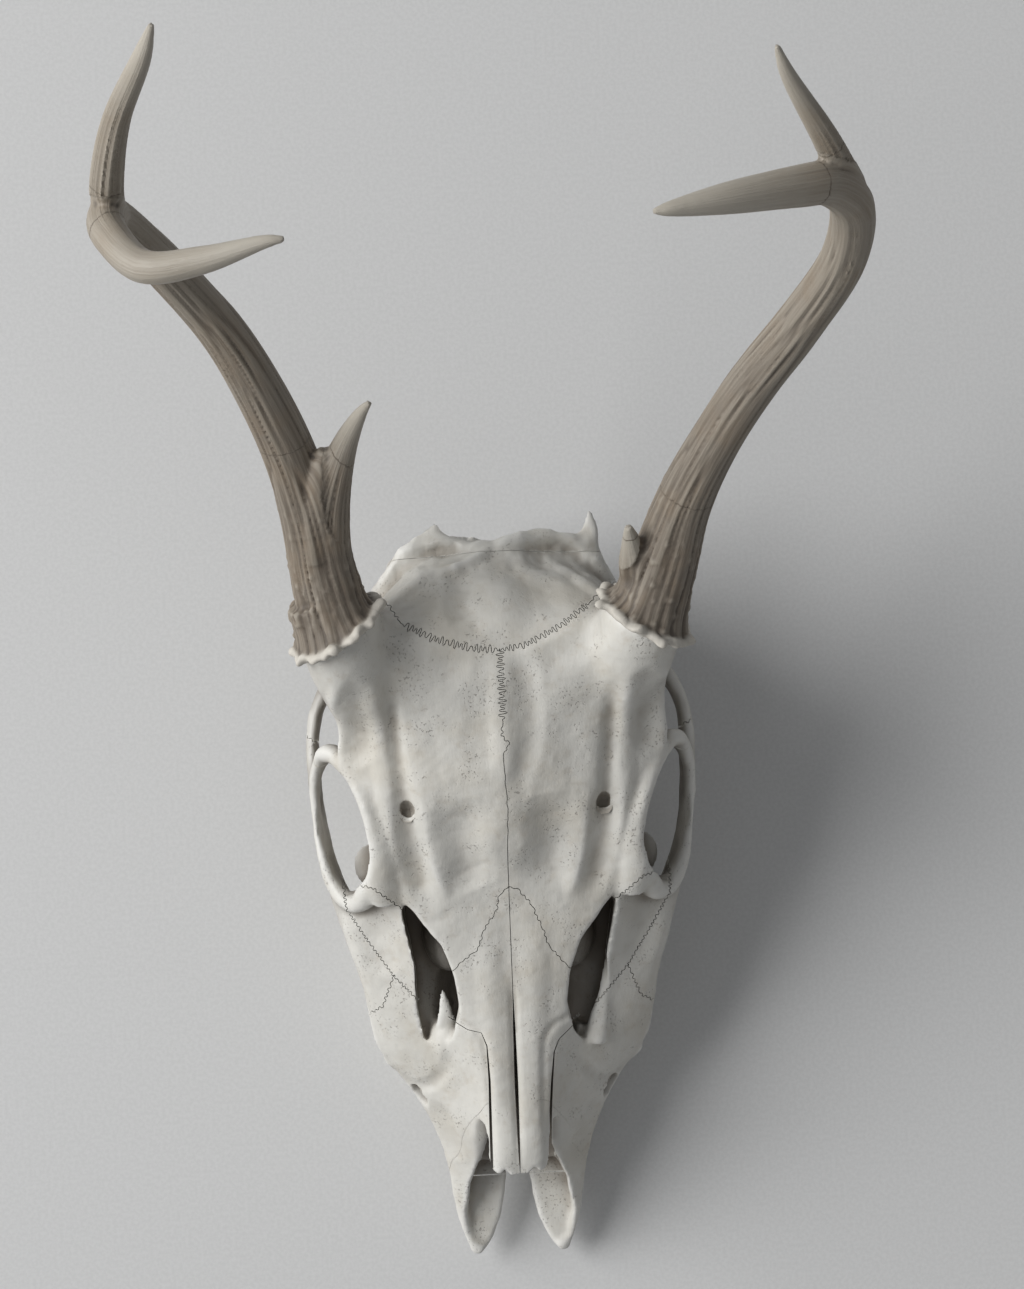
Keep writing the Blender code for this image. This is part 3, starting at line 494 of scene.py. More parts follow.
tools = [section_loft("nose", (NOSE_ROOF, NOSE_SIDE, NOSE_FLOOR), -150, -50, 40)]
tools.append(prism("aperture", (
    (-129, 45.5), (-136, 46), (-147, 43), (-152, 60), (-190, 60), (-190, 11.5), (-172, 13),
    (-163, 17.5), (-150, 27), (-140, 36)), "x", -45, 45))
tools.append(prism("gap_between_tips", (
    (-3.4, -149), (-4.6, -158), (-6, -165), (-9, -172), (-11, -175.5), (-14, -178.5), (-14, -190),
    (14, -190), (14, -178.5), (11, -175.5), (9, -172), (6, -165), (4.6, -158), (3.4, -149)), "z", -5, 60))
BED = ((4.2, -150), (5.5, -160), (8, -170), (12, -175), (15.5, -172), (17.4, -163), (16, -152),
       (12.8, -145), (9, -146))
BED_FRONT, BED_LEVEL, BED_SLOPE = -175, 11.6, 0.135
tools += both(loft, "nose_bed", [[(x, y, BED_LEVEL + (y - BED_FRONT) * BED_SLOPE) for x, y in BED],
                                 [(x, y, 60) for x, y in BED]])
tools += both(ball, "orbit", (48, -35, 64), (17, 17.5, 16.5), turn=(0, 12, -14))
tools += both(ball, "orbit_depth", (36, -33, 58), (18, 15, 14))
tools += both(prism, "pit_before_eye", (
    (34.5, -57), (30, -62), (22.5, -72), (19, -82), (17.5, -92), (19.5, -102), (24, -107),
    (29, -103), (31, -92), (31, -78), (33.5, -66)), "z", 42.5, 90)
tools += both(ball, "cheek_foramen", (31, -122, 29), (4, 5, 2.2), turn=(0, 0, 25))
tools += both(strap, "palate_slot", (
    (4.6, -149, 13, 1.8, 9), (5, -140, 15, 2.4, 9), (5, -131, 17, 1.6, 9)))
tools += both(ball, "ear_hole", (35, 26, 44), (8, 3, 3), turn=(0, 0, 20))
tools += both(ball, "brow_foramen", (31.5, -28, 90), (1.9, 1.9, 9), turn=(-14, 5, 0))
tools += both(ball, "tear_duct", (52, -54, 56), (1.3, 4, 1.3), turn=(-20, 0, -40))
tools += both(ball, "tear_duct_upper", (50, -55, 61), (1.2, 4, 1.2), turn=(-20, 0, -40))
tools.append(ball("brain_hole", (0, 52, 45), (10, 16, 10.5)))
tools.append(ball("throat", (0, -30, 23), (9, 22, 8), turn=(-8, 0, 0)))
tools += both(prism, "nasal_notch", ((4.4, -152), (3.6, -149), (4.6, -144.5), (6.2, -148), (6.6, -152)),
              "z", 38, 60)
cut(skull, fused("hollows", tools, FINE, 3))


def drum(foot, axis, middle, radius, depth):
    """A cylinder along an axis, its middle this far along it from the foot."""
    along = Vector(axis).normalized()
    bpy.ops.object.select_all(action="DESELECT")
    bpy.ops.mesh.primitive_cylinder_add(vertices=64, radius=radius * MM, depth=depth * MM)
    made = bpy.context.object
    made.matrix_world = (Matrix.Translation((Vector(foot) + along * middle) * MM)
                         @ along.to_track_quat("Z", "Y").to_matrix().to_4x4())
    bpy.ops.object.transform_apply()
    return made


# Each pedicle ends flat, where the antler grows on
for foot, axis in BURRS.values():
    cut(skull, drum(foot, axis, middle=30, radius=22, depth=60))

inner = both(strap, "scroll", ((13.2, -141, 30, 1.2, 4), (14, -130, 33, 1.8, 6), (18, -115, 38, 2.2, 7),
                               (22, -100, 40, 2, 6)))
inner.append(ball("pit_scoop", (-21, -104, 43), (6.5, 8, 6.5), turn=(10, 0, 0)))
inner.append(strap("pit_leaf", ((-21.5, -101, 46, 4.2, 2), (-21.5, -96, 49, 2.8, 1.2),
                                (-22, -91, 51, 1.5, 0.9), (-22.5, -87, 52.5, 0.6, 0.6))))
inner.append(strap("pit_plate", ((26, -106, 44, 4.2, 4), (28, -99, 47, 3.2, 2.4),
                                 (30, -90, 49.5, 2, 1.6), (31.2, -80, 52, 1, 1))))
inner += both(ball, "orbit_pocket", (43.6, -46, 46.4), (6, 7, 1.8))
inner += both(ball, "ethmoid", (19, -70, 44), (9, 12, 7))
inner.append(strap("septum", ((0, -146, 15, 0.9, 4), (0, -120, 26, 0.9, 8), (0, -90, 34, 0.9, 10),
                              (0, -58, 44, 0.9, 9))))
only(skull, *inner)
bpy.ops.object.join()
modify(skull, "REMESH", mode="VOXEL", voxel_size=FINER * MM)
modify(skull, "SMOOTH", factor=0.5, iterations=3)


# ------------------------------------------------------------------------------------ modelling
# Fine forms are pressed into the skin and drawn out of it by strokes: grooves for the vessels over
# the eyes, the ridge of the forehead, the crests where muscles held, the hollow of the cheek.


class Skin:
    """The corners of a mesh in millimetres, which strokes move along their normals."""

    def __init__(self, obj):
        self.obj = obj
        mesh = obj.data
        self.at = corners_of(mesh)
        edges = np.empty(len(mesh.edges) * 2, np.int64)
        mesh.edges.foreach_get("vertices", edges)
        edges = edges.reshape(-1, 2)
        self.ends = np.concatenate([edges, edges[:, ::-1]])
        self.shared = np.maximum(np.bincount(self.ends[:, 0], minlength=len(self.at)), 1)
        self.refresh()

    def refresh(self):
        """Writes the corners to the mesh and reads its normals."""
        mesh = self.obj.data
        mesh.vertices.foreach_set("co", (self.at * MM).ravel())
        mesh.update()
        normals = np.empty(len(self.at) * 3)
        mesh.vertices.foreach_get("normal", normals)
        self.normals = normals.reshape(-1, 3)

    def averaged(self, values, rounds):
        """Values that take their neighbours' mean, again and again."""
        values = values.copy()
        for _ in range(rounds):
            near = values[self.ends[:, 1]]
            if values.ndim == 1:
                values = np.bincount(self.ends[:, 0], near, len(values)) / self.shared
            else:
                values = np.stack([np.bincount(self.ends[:, 0], near[:, k], len(values))
                                   for k in range(3)], 1) / self.shared[:, None]
        return values

    def tops(self, cell, border=0):
        """Each corner's cell in a flat grid, and the highest corner of every cell."""
        cells = ((self.at[:, :2] - self.at[:, :2].min(0) + border) / cell).astype(int)
        highest = np.full(cells.max(0) + 2 + int(border / cell), -1e3)
        np.maximum.at(highest, (cells[:, 0], cells[:, 1]), self.at[:, 2])
        return cells, highest

    def see_from_above(self, reach=3.0, cell=1.0):
        """Marks the corners that nothing more than reach above them hides from above."""
        cells, highest = self.tops(cell)
        self.above = self.at[:, 2] > highest[cells[:, 0], cells[:, 1]] - reach

    def painted_occlusion(self, reach=14, cell=1.0):
        """How far the forms around each corner close it off from the sky, from 0 to 1."""
        cells, highest = self.tops(cell, reach)
        closed = np.zeros(len(cells))
        for turn in angles(8):
            ahead = np.array((math.cos(turn), math.sin(turn)))
            steepest = np.zeros(len(cells))
            for far in (2, 3.5, 5.5, 8, 11, reach - 1):
                x, y = (cells + np.round(ahead * far / cell).astype(int)).T
                steepest = np.maximum(steepest, np.arctan((highest[x, y] - self.at[:, 2]) / far))
            closed += steepest / (4 * math.pi)
        upright = np.clip(self.normals[:, 2] * 3 + 1.3, 0, 1)
        return self.averaged(closed * upright, 3)

    def stands_out(self, rounds):
        """How far each corner stands above its neighbourhood; it is below zero in a hollow."""
        return ((self.at - self.averaged(self.at, rounds)) * self.normals).sum(1)

    def stand_on_floor(self, gap):
        """Lifts what lies lower than gap up to it."""
        self.at[:, 2] = np.maximum(self.at[:, 2], gap)
        self.refresh()

    def stroke(self, path, radius, height, paired=True):
        """Raises (or sinks) a band around a path. A path of (x, y) works on what shows from above."""
        for side in (1, -1) if paired else (1,):
            knots = np.array(path, float) * ([side] + [1] * (len(path[0]) - 1))
            flat = knots.shape[1] == 2
            if len(knots) > 2:
                curved = curve_through([(*k, 0)[:3] for k in knots], 6)
                knots = np.array([list(k) for k in curved])[:, :knots.shape[1]]
            spots = self.at[:, :knots.shape[1]]
            near = ((spots > knots.min(0) - radius) & (spots < knots.max(0) + radius)).all(1)
            if flat:
                near &= self.above
            index = np.flatnonzero(near)
            spots = spots[index]
            nearest, run = np.full(len(index), 1e9), np.zeros(len(index))
            for step, (a, b) in enumerate(zip(knots, knots[1:])):
                along = b - a
                t = np.clip((spots - a) @ along / (along @ along), 0, 1)
                gap = np.linalg.norm(spots - a - t[:, None] * along, axis=1)
                run = np.where(gap < nearest, step + t, run)
                nearest = np.minimum(nearest, gap)
            fade = np.clip(1 - (nearest / radius) ** 2, 0, 1) ** 2
            if len(knots) > 2:
                ends = np.minimum(run, len(knots) - 1 - run) / (len(knots) - 1)
                fade *= np.clip(ends * 4 + 0.15, 0, 1)
            self.at[index] += self.normals[index] * (height * fade)[:, None]

    def grain(self, size, height, seed, where=1.0):
        """Uneven relief of about this size and height."""
        self.at += self.normals * (height * uneven(self.at / size, seed) * where)[:, None]

    def keep(self, name, values):
        """Writes a value for each corner into the mesh, for its material to read."""
        wide = values.ndim == 2
        layer = self.obj.data.attributes.new(name, "FLOAT_VECTOR" if wide else "FLOAT", "POINT")
        layer.data.foreach_set("vector" if wide else "value", values.astype(np.float32).ravel())


def uneven(spots, seed):
    """Smooth noise from -1 to 1 at each spot, with about one swell to a unit.

    Large primes scatter the numbers of the cells' corners, as in any hash.
    """
    spots = spots + seed * 17.3
    cell = np.floor(spots).astype(np.int64)
    t = spots - cell
    t = t * t * (3 - 2 * t)
    total = np.zeros(len(spots))
    for corner in range(8):
        step = np.array([corner & 1, corner >> 1 & 1, corner >> 2 & 1])
        x, y, z = (cell + step).T
        mixed = (x * 73856093) ^ (y * 19349663) ^ (z * 83492791)
        mixed = ((mixed ^ (mixed >> 13)) * 1274126177) & 0xFFFFFFFF
        value = ((mixed ^ (mixed >> 15)) & 0xFFFF) / 32767.5 - 1
        total += value * np.where(step, t, 1 - t).prod(1)
    return total


# Each stroke is a path, the radius and height of its band, and False where it is on one side only.
STROKES = (
    # The groove of the vessels that run through the brow, the hollow it opens into, and two swells
    (((34.5, 8), (33.6, -6), (32.2, -19), (31.2, -36)), 3.8, -1.1),
    (((32, -22), (30.6, -36), (28.5, -48), (23, -62)), 6.0, -2.2),
    (((38.5, 8), (38, -12), (36.8, -30), (34, -48)), 5.0, 1.0),
    (((27, 0), (26.5, -18), (25, -36)), 6.5, 0.6),
    # The low ridge down the forehead, between two hollows
    (((0, 16), (0, 0), (0, -22)), 5.5, 0.9, False),
    (((3.5, 19), (8.2, 9), (8.6, -7.5), (3.5, -26)), 5.0, -1.0, False),
    (((-7, 12), (-8, -6), (-6, -20)), 6.0, -0.5, False),
    # The dip in front of the suture across the crown, and the sunken suture
    (((-38, 26), (-30.8, 20.4), (-24.7, 17), (-17, 14.8), (-9, 13.5)), 7.5, -1.9, False),
    (((33, 27), (22, 18), (12, 14.5)), 7.0, -1.0, False),
    (((-30, 28.5), (-20, 23.2), (-9, 20), (0, 19), (8, 20.3), (19, 25.6), (28.6, 32.6)), 2.4, -0.4,
     False),
    # The dome over the brain, with the crests and hollows where the neck muscles held
    (((1.5, 30), (1, 35)), 10.5, 2.2, False),
    (((-9.5, 27), (-12, 34), (-10, 43)), 6.0, -1.6, False),
    (((-22, 43), (-10, 46), (-1, 52)), 2.6, 1.3, False),
    (((-16, 52), (-8, 56)), 5.0, -1.2, False),
    (((14, 49), (24, 44)), 6.0, -1.2, False),
    (((16, 34), (13, 44)), 7.0, -0.8, False),
    (((36, 33), (27, 40), (17.5, 48)), 2.6, 1.0),
    # The dished forehead between the eyes, its edge, and the hollow at the foot of each antler
    (((12, -26), (14.5, -42), (10, -55)), 11.0, -2.6),
    (((20, -44), (24, -58)), 7.0, 0.8),
    (((45, 6), (45.5, -9)), 6.5, -1.6),
    # The rounded backs of the nasal bones, the furrow between them and the one along each
    (((7.5, -64), (7, -90), (5.5, -120), (5, -142)), 6.0, 0.8),
    (((0, -84), (0, -105), (0, -148)), 2.0, -0.9, False),
    (((19.5, -84), (18.5, -96), (12, -100.5), (9.5, -106), (8.7, -124), (8.4, -140)), 1.7, -0.6),
    # The edge from the antler to the eye, the crest of the face, its knob, and the cheek's groove
    (((50, 12, 112), (54, 0, 96), (58.5, -14, 70)), 3.2, 0.8),
    (((40, -110, 29), (45, -101, 33), (50, -88, 37), (54, -72, 41)), 3.6, 0.9),
    (((42, -111, 27), (41, -112, 26)), 4.5, 1.4),
    (((21, -111, 48), (27, -118, 38), (33, -119, 31), (39, -114, 31)), 3.6, -0.8),
    # The hollows beside the muzzle and for the tear gland, the cheek bone's edges, and the temple
    (((25, -130, 33), (22, -140, 29)), 7.0, -0.9),
    (((44, -70, 54), (42, -76, 52)), 8.0, -1.3),
    (((47, -80, 34), (54, -62, 37), (58.5, -44, 38)), 2.4, 0.8),
    (((45, -66, 58), (37, -70, 62), (34, -80, 58)), 3.0, 0.6),
    (((38, 10, 60), (40, 24, 70), (36, 38, 78)), 5.0, -0.8))

skin = Skin(skull)
skin.see_from_above()
for stroke in STROKES:
    skin.stroke(*stroke)
skin.refresh()

# The bone is never quite even, and it is rough at the nape, where the muscles held
NAPE_FRONT, NAPE_LOW, NAPE_FADE = 36, 62, 10
skin.grain(14, 0.40, 3.1)
skin.grain(5.0, 0.14, 7.7)
nape = (np.clip((skin.at[:, 1] - NAPE_FRONT) / NAPE_FADE, 0, 1)
        * np.clip((skin.at[:, 2] - NAPE_LOW) / NAPE_FADE, 0, 1))
skin.grain(9.0, 1.5, 11.3, nape)
skin.grain(3.0, 0.4, 15.9, nape)
skin.grain(1.7, 0.09, 5.5)
skin.refresh()
skin.stand_on_floor(0.02)
# Hollows and ridges of the relief: the finish paints stain and shade into the hollows, and wear and a
# highlight onto the ridges
relief = skin.averaged(skin.stands_out(3), 2) * 2.5 + skin.averaged(skin.stands_out(20), 4) * 0.55
skin.keep("crevice", np.clip(-relief, 0, 1))
skin.keep("ridge", np.clip(relief, 0, 1))
# How closed in each corner is, which the bone's finish turns into painted shade
skin.keep("painted_occlusion", skin.painted_occlusion())


# ------------------------------------------------------------------------------------ sutures
# Bones meet along seams. On the roof of the skull they interlock in a tight zigzag, and between the
# plates of the face they run nearly straight. Each seam is a thin sheet taken out of the skull.

SEAM, CLOSE_SEAM, HAIRLINE = 0.22, 0.14, 0.12
LOOP_STEPS = 8         # points on each loop of a suture
JAW_JOINT = ((-120, 60), (-124, 52), (-132, 40), (-142, 28), (-151, 17), (-154, -9))


def wavy(line, pitch, reach, seed=0.0):
    """A line as a meander of uneven loops, calm at its ends. Each point holds its place on the line too."""
    knots = [Vector(p[:2]) for p in line]
    whole = sum((b - a).length for a, b in zip(knots, knots[1:]))
    out = [(*knots[0], *knots[0])]
    walked = 0.0
    for a, b in zip(knots, knots[1:]):
        length = (b - a).length
        steps = max(int(length / pitch * LOOP_STEPS), 1)
        ahead = (b - a).normalized()
        aside = Vector((-ahead.y, ahead.x))
        for step in range(1, steps + 1):
            s = walked + length * step / steps
            phase = 2 * math.pi * (s / pitch + 0.16 * math.sin(s * 0.9 + seed))
            calm = min(s, whole - s, pitch) / pitch
            high = calm * reach * (0.72 + 0.28 * math.sin(s * 1.7 + seed * 2))
            lean = -0.05 * calm * pitch * math.sin(2 * phase)
            base = a.lerp(b, step / steps)
            out.append((*(base + ahead * lean + aside * high * math.sin(phase)), *base))
        walked += length
    return out


def sheet(name, line, axis, low, high, loops_from=None, gaps=SEAM, cell=5.0):
    """A thin wall along a line in a plane, as deep as low to high across it, in small cells.

    The loops of a wavy line start at a height of loops_from over low, and are full 8 mm above that.
    """
    line = [(*p, *p)[:4] if len(p) == 2 else p for p in line]
    limits = [v if hasattr(v, "__len__") else [v] * len(line) for v in (low, high, gaps)]
    limits = [Vector(pair) for pair in zip(*limits)]
    points, spans = [], []
    for a, b, here, there in zip(line, line[1:], limits, limits[1:]):
        steps = max(math.ceil(math.dist(a[:2], b[:2]) / cell), 1)
        for step in range(steps):
            points.append(Vector(a).lerp(Vector(b), step / steps))
            spans.append(here.lerp(there, step / steps))
    points.append(Vector(line[-1]))
    spans.append(limits[-1])
    levels = math.ceil(max(span.y - span.x for span in spans) / cell)
    place = "xyz".index(axis)
    rings = [[] for _ in points]
    for side in (1, -1):
        for k in range(levels + 1) if side > 0 else range(levels, -1, -1):
            row = []
            for point, span in zip(points, spans):
                level = span.x + (span.y - span.x) * k / levels
                full = 1 if loops_from is None else min(max((level - span.x - loops_from) / 8, 0), 1)
                row.append((Vector(point[2:4]).lerp(Vector(point[:2]), full), level))
            for i, (spot, level) in enumerate(row):
                ahead = (row[min(i + 1, len(row) - 1)][0] - row[max(i - 1, 0)][0]).normalized()
                corner = list(spot + Vector((-ahead.y, ahead.x)) * (side * spans[i].z / 2))
                corner.insert(place, level)
                rings[i].append(corner)
    return loft(name, rings)


middle = [(0, -200), (0, -43.1), (0, -42.9)] + wavy(((0.05, -42), (0.4, -30), (-0.3, -13)), 6.0, 0.2)
middle += wavy(((-0.2, -12.8), (1.7, -10), (-0.6, -7), (0, -3)), 2.2, 0.45)
middle += wavy(((0, -2.8), (0, 19.5)), 1.35, 1.5, 2.0)
# The midline parts the whole face, and farther back only the roof
floors = [-9 if p[1] <= -43 else 58 if p[1] < -6 else 64 for p in middle]
crown = wavy(((-60, 45), (-44, 43.5), (-37, 39), (-33.5, 34.5), (-30.2, 28.6)), 2.0, 0.5)
crown += wavy(((-30, 28.5), (-20, 23.2), (-9, 20), (0, 19)), 1.5, 1.5, 1.6)
crown += wavy(((0.2, 19), (8, 20.3), (19, 25.6), (28.6, 32.6)), 1.45, 1.2, 4.0)
crown += wavy(((28.8, 32.8), (33, 37.5), (40, 42.5), (60, 45)), 2.0, 0.5)
reach_of_brows = (24, 31, 34.5, 39.5, 45, 50, 50, 50, 50, 50, 50, 50)
NASAL_GAPS = (SEAM, SEAM, SEAM, 0.35, 0.7, 0.9, 0.9)     # a nasal bone stands free towards its tip

# Each round of cuts holds walls that don't cross each other
first = [
    sheet("midline", middle, "z", floors, 112, 9),
    sheet("occipital_joint", ((38, -9), (40, 20), (44, 45), (44, 62), (46, 70), (50, 78), (52, 100)),
          "x", -90, 90, gaps=HAIRLINE)]
second = [
    sheet("coronal", crown, "z", 70, 122, 4),
    sheet("behind_jaws", ((-43, 60), (-44, 45), (-46.5, 30), (-46.5, -9)), "x", -42, 42),
    sheet("nose_side_right", ((-21, -96), (-15, -100), (-10.6, -101.2), (-9, -105.5), (-8.6, -117),
                              (-8.8, -130), (-9, -146)), "z", 33, 130, gaps=NASAL_GAPS),
    sheet("nose_side_left", ((22, -98), (17.5, -101.8), (14.4, -104.5), (12.6, -108.5), (11.6, -118),
                             (10.8, -128), (10.6, -146)), "z", 33, 130, gaps=NASAL_GAPS)]
third = [
    sheet("frontal_floor", ((-79, 55), (-68, 57), (-61, 57.7), (-57, 58.1), (-53, 58.3), (-51, 58.4),
                            (-42, 59), (-20, 61), (0, 66), (20, 71), (36, 71), (46, 70)),
          "x", [-reach for reach in reach_of_brows], reach_of_brows),
    sheet("front_of_palate", JAW_JOINT[2:], "x", -9.5, 9.5, gaps=CLOSE_SEAM),
    sheet("between_nasals", ((0, -86), (0, -100), (0, -118), (0, -133), (0, -150)), "z", 42, 72,
          gaps=(HAIRLINE, 0.8, 1.2, 0.9, 0.3))]
fourth = [
    sheet("nose_root_right", wavy(((-0.05, -54.5), (-3, -57), (-4.2, -62), (-8.5, -68), (-10.5, -74),
                                   (-16, -78), (-22, -84)), 2.6, 0.35), "z", 53, 90, 7),
    sheet("nose_root_left", wavy(((0.05, -54.5), (3, -55.5), (7, -60.5), (10.5, -69), (12, -74),
                                  (18, -81), (23, -85)), 2.6, 0.35), "z", 53, 90, 7)]
tear_inner, tear_outer = (6, 6, 6, 6, 8, 20), (28.6, 38.6, 46.6, 53, 54.4, 44)
for hand in (1, -1):
    def on_side(*pairs):
        return [(hand * x, other) for x, other in pairs]

    near, far = sorted((hand * 8.4, hand * 40))
    tear_near, tear_far = zip(*(sorted((hand * a, hand * b)) for a, b in zip(tear_inner, tear_outer)))
    first += [
        sheet("premaxilla_joint", JAW_JOINT, "x", near, far, gaps=CLOSE_SEAM),
        sheet("tear_floor", ((-93.4, 44), (-82.5, 44), (-70.5, 44), (-60.5, 44), (-44, 44), (-37, 44)),
              "x", tear_near, tear_far),
        sheet("temporal_front", on_side((9, 4), (50, 4)), "z", -9, 71.2),
        sheet("cheek_arch_joint", wavy(on_side((72, 6), (62, -4), (52, -9)), 2.4, 0.5), "z", 20, 58)]
    second += [
        sheet("tear_bottom", wavy(on_side((24.4, -96), (27.6, -93.4), (38, -82), (46, -70), (52, -60),
                                          (53.6, -44.5)), 1.5, 0.55), "z", 43.2, 80, 2),
        sheet("bar_joint", on_side((46, 66), (75, 68)), "y", -30, 4)]
    third.append(sheet("cheek_back", on_side((38, -83), (43, -72), (46, -58), (46, -34)), "z", 15, 44))
    fourth += [
        sheet("temporal_base", on_side((10.5, -9), (10.5, 33), (20, 40), (25, 52), (27, 73)), "y", 4, 46),
        sheet("tear_top", wavy(on_side((30, -68), (33, -61), (38, -57), (43, -53), (51, -51)), 1.8, 0.4),
              "z", 43.9, 90, 15),
        sheet("cheek_front", wavy(on_side((37.8, -81.6), (42, -92), (60, -102)), 1.8, 0.45), "z", 15, 100)]
for group in (first, second, third, fourth):
    only(*group)
    bpy.ops.object.join()
    cut(skull, bpy.context.object)

# Bones by name, with a point near the middle of each
SEEDS = {"parietal": (0, 39, 83), "occipital": (0, 49, 48), "sphenoid_palatine": (0, -14, 42)}
for bone, (x, y, z) in {"maxilla": (25, -95, 30), "frontal": (28, -15, 88), "premaxilla": (12.5, -147, 26),
                        "nasal": (8, -105, 55), "lacrimal": (43, -61, 56), "zygomatic": (52.5, -47, 46),
                        "temporal": (34, 21, 46)}.items():
    SEEDS[bone + "_left"] = (x, y, z)
    SEEDS[bone + "_right"] = (-x, y, z)


def split(obj, seeds, least):
    """Parts an object into its loose pieces, each named by its nearest seed. Crumbs are left out."""
    only(obj)
    bpy.ops.object.mode_set(mode="EDIT")
    bpy.ops.mesh.separate(type="LOOSE")
    bpy.ops.object.mode_set(mode="OBJECT")
    free = dict(seeds)
    named = {}
    for piece in sorted(bpy.context.selected_objects, key=lambda o: -len(o.data.vertices)):
        if len(piece.data.vertices) < least or not free:
            bpy.data.objects.remove(piece)
            continue
        middle = corners_of(piece.data).mean(0)
        name = min(free, key=lambda n: np.linalg.norm(np.array(free[n]) - middle))
        del free[name]
        piece.name = name + "_piece"
        named[name] = piece
    return named


LEAST = 250            # a loose bit with fewer corners is a crumb of the cuts
bones = split(skull, SEEDS, LEAST)


# ------------------------------------------------------------------------------------ bone finish
# Dry, clean bone: ivory, warmer in patches where fat has soaked in, darker brown in the hollows and along
# the seams, partly stain and partly painted shade, with a deep painted shade where the forms around close a
# spot off, and paler on the ridges, partly rubbed wear and partly a painted highlight. Fine pores, darkened
# with painted shade, and fibres show close up.

IVORY, CREAM, TAN = (0.62, 0.605, 0.56), (0.55, 0.52, 0.455), (0.45, 0.395, 0.315)
STAIN_AND_SHADE, PAINTED_DEEP_SHADE, RIDGE_WEAR_AND_HIGHLIGHT = (0.27, 0.23, 0.18), (0.13, 0.105, 0.08), (0.70, 0.69, 0.655)

bone = Finish("dry_bone", 0.55)
crevice = bone.attribute("crevice")
ridge = bone.attribute("ridge")
patches = bone.cloud(26, 4.0, 0.6).between(0.42, 0.68)
flecks = bone.cloud(5.0, 5.0, 0.65).between(0.50, 0.75)
colour = bone.tint(patches * 0.75, IVORY, CREAM)
colour = bone.tint(flecks * 0.35, colour, TAN)
# Ridges are paler: partly rubbed wear, partly a painted highlight
colour = bone.tint(ridge.between(0.25, 0.9) * 0.8, colour, RIDGE_WEAR_AND_HIGHLIGHT)
# Hollows and seams darken towards brown: partly a stain, partly painted shade in the creases
colour = bone.tint((crevice + bone.cloud(2.5, 3.0) * 0.1).between(0.1, 1.1) * 0.6, colour, STAIN_AND_SHADE)
# Painted shade, a deep brown-grey, where the forms around close a spot off from above: pits, orbits,
# foramina, grooves
colour = bone.tint(bone.attribute("painted_occlusion").between(0.22, 0.75) * 0.85, colour, PAINTED_DEEP_SHADE)
pores = bone.cloud(0.75, 2.0, 0.5).between(0.60, 0.70)
pored = bone.cloud(9.0, 2.0).between(0.45, 0.65)
fibres = bone.cloud(0.9, 3.0, 0.6, (1.0, 0.16, 1.0))
# The pores are darkened with the same painted shade
colour = bone.tint(pores * pored * 0.45, colour, PAINTED_DEEP_SHADE)
relief = fibres * 0.5 - pores * pored * 0.9 + bone.cloud(2.2, 3.0) * 0.5
bone_finish = bone.surface(colour, relief, 0.16, 0.50 + patches * 0.08 + crevice * 0.2)
SHARP = math.radians(55)     # the edges of a suture are sharp, and all else is smooth


def coat(piece, finish):
    """Shades a piece smooth and gives it one material."""
    only(piece)
    bpy.ops.object.shade_smooth_by_angle(angle=SHARP)
    piece.data.materials.clear()
    piece.data.materials.append(finish)


for name, piece in bones.items():
    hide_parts(name)
    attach(piece, "root")
    coat(piece, bone_finish)


# ------------------------------------------------------------------------------------ cheek teeth
# Three premolars and three molars on each side, rooted in the maxilla. Ruminant teeth are tall, each
# of one or two lobes with a rounded outer face, a rib down its middle, and a level worn top.

TEETH = ((9.5, 8.0), (10.5, 9.5), (10.5, 11.0), (13.5, 12.5), (14.5, 13.5), (14.0, 12.5))   # length, width
PREMOLARS = 3
ROW_FRONT, ROW_BACK_X = (20.0, -121.0), 27.5
TOOTH_SHAPE = ((0.0, 0.84), (1.0, 0.88), (3.0, 0.94), (9.0, 1.0), (22.0, 0.86))   # height, share of width
TOOTH_FINE = 0.45
WORN = 0.05                  # height of the worn tops, which the skull lies on
ENAMEL, YELLOWED, TARTAR_AND_SHADE = (0.80, 0.78, 0.70), (0.62, 0.54, 0.40), (0.14, 0.09, 0.05)


def squared(part):
    """A sine or cosine drawn out, so that a circle of them has fuller corners."""
    return math.copysign(abs(part) ** 0.7, part)


def lobe_of(x, y, long, wide):
    """One lobe of a crown, with a rib down its outer face."""
    rings = []
    for z, swell in TOOTH_SHAPE:
        ring = []
        for a in angles(48):
            rib = 1 + 0.07 * math.cos(5 * a) + 0.05 * math.cos(3 * a)
            ring.append((x + wide / 2 * swell * rib * squared(math.cos(a)),
                         y + (long / 2 + 0.1) * swell * squared(math.sin(a)), z))
        rings.append(ring)
    return loft("crown", rings)


crowns = []
row_length = sum(length for length, _ in TEETH)
start = ROW_FRONT[1]
for number, (length, width) in enumerate(TEETH):
    centre = start + length / 2
    back = (centre - ROW_FRONT[1]) / row_length
    x = ROW_FRONT[0] + (ROW_BACK_X - ROW_FRONT[0]) * math.sin(back * math.pi / 2)
    lobes = 1 if number < PREMOLARS else 2
    for lobe in range(lobes):
        crowns.append(lobe_of(x, centre + (lobe - (lobes - 1) / 2) * length / lobes, length / lobes, width))
    start += length
teeth_left = fused("cheek_teeth_left", crowns, TOOTH_FINE, 2)
teeth_right = mirrored(teeth_left)
teeth_right.name = "cheek_teeth_right"
enamel = Finish("enamel", 0.3)
growth = enamel.cloud(1.2, 3.0, 0.6, (1, 1, 3))
colour = enamel.tint(growth.between(0.4, 0.7) * 0.4, ENAMEL, YELLOWED)
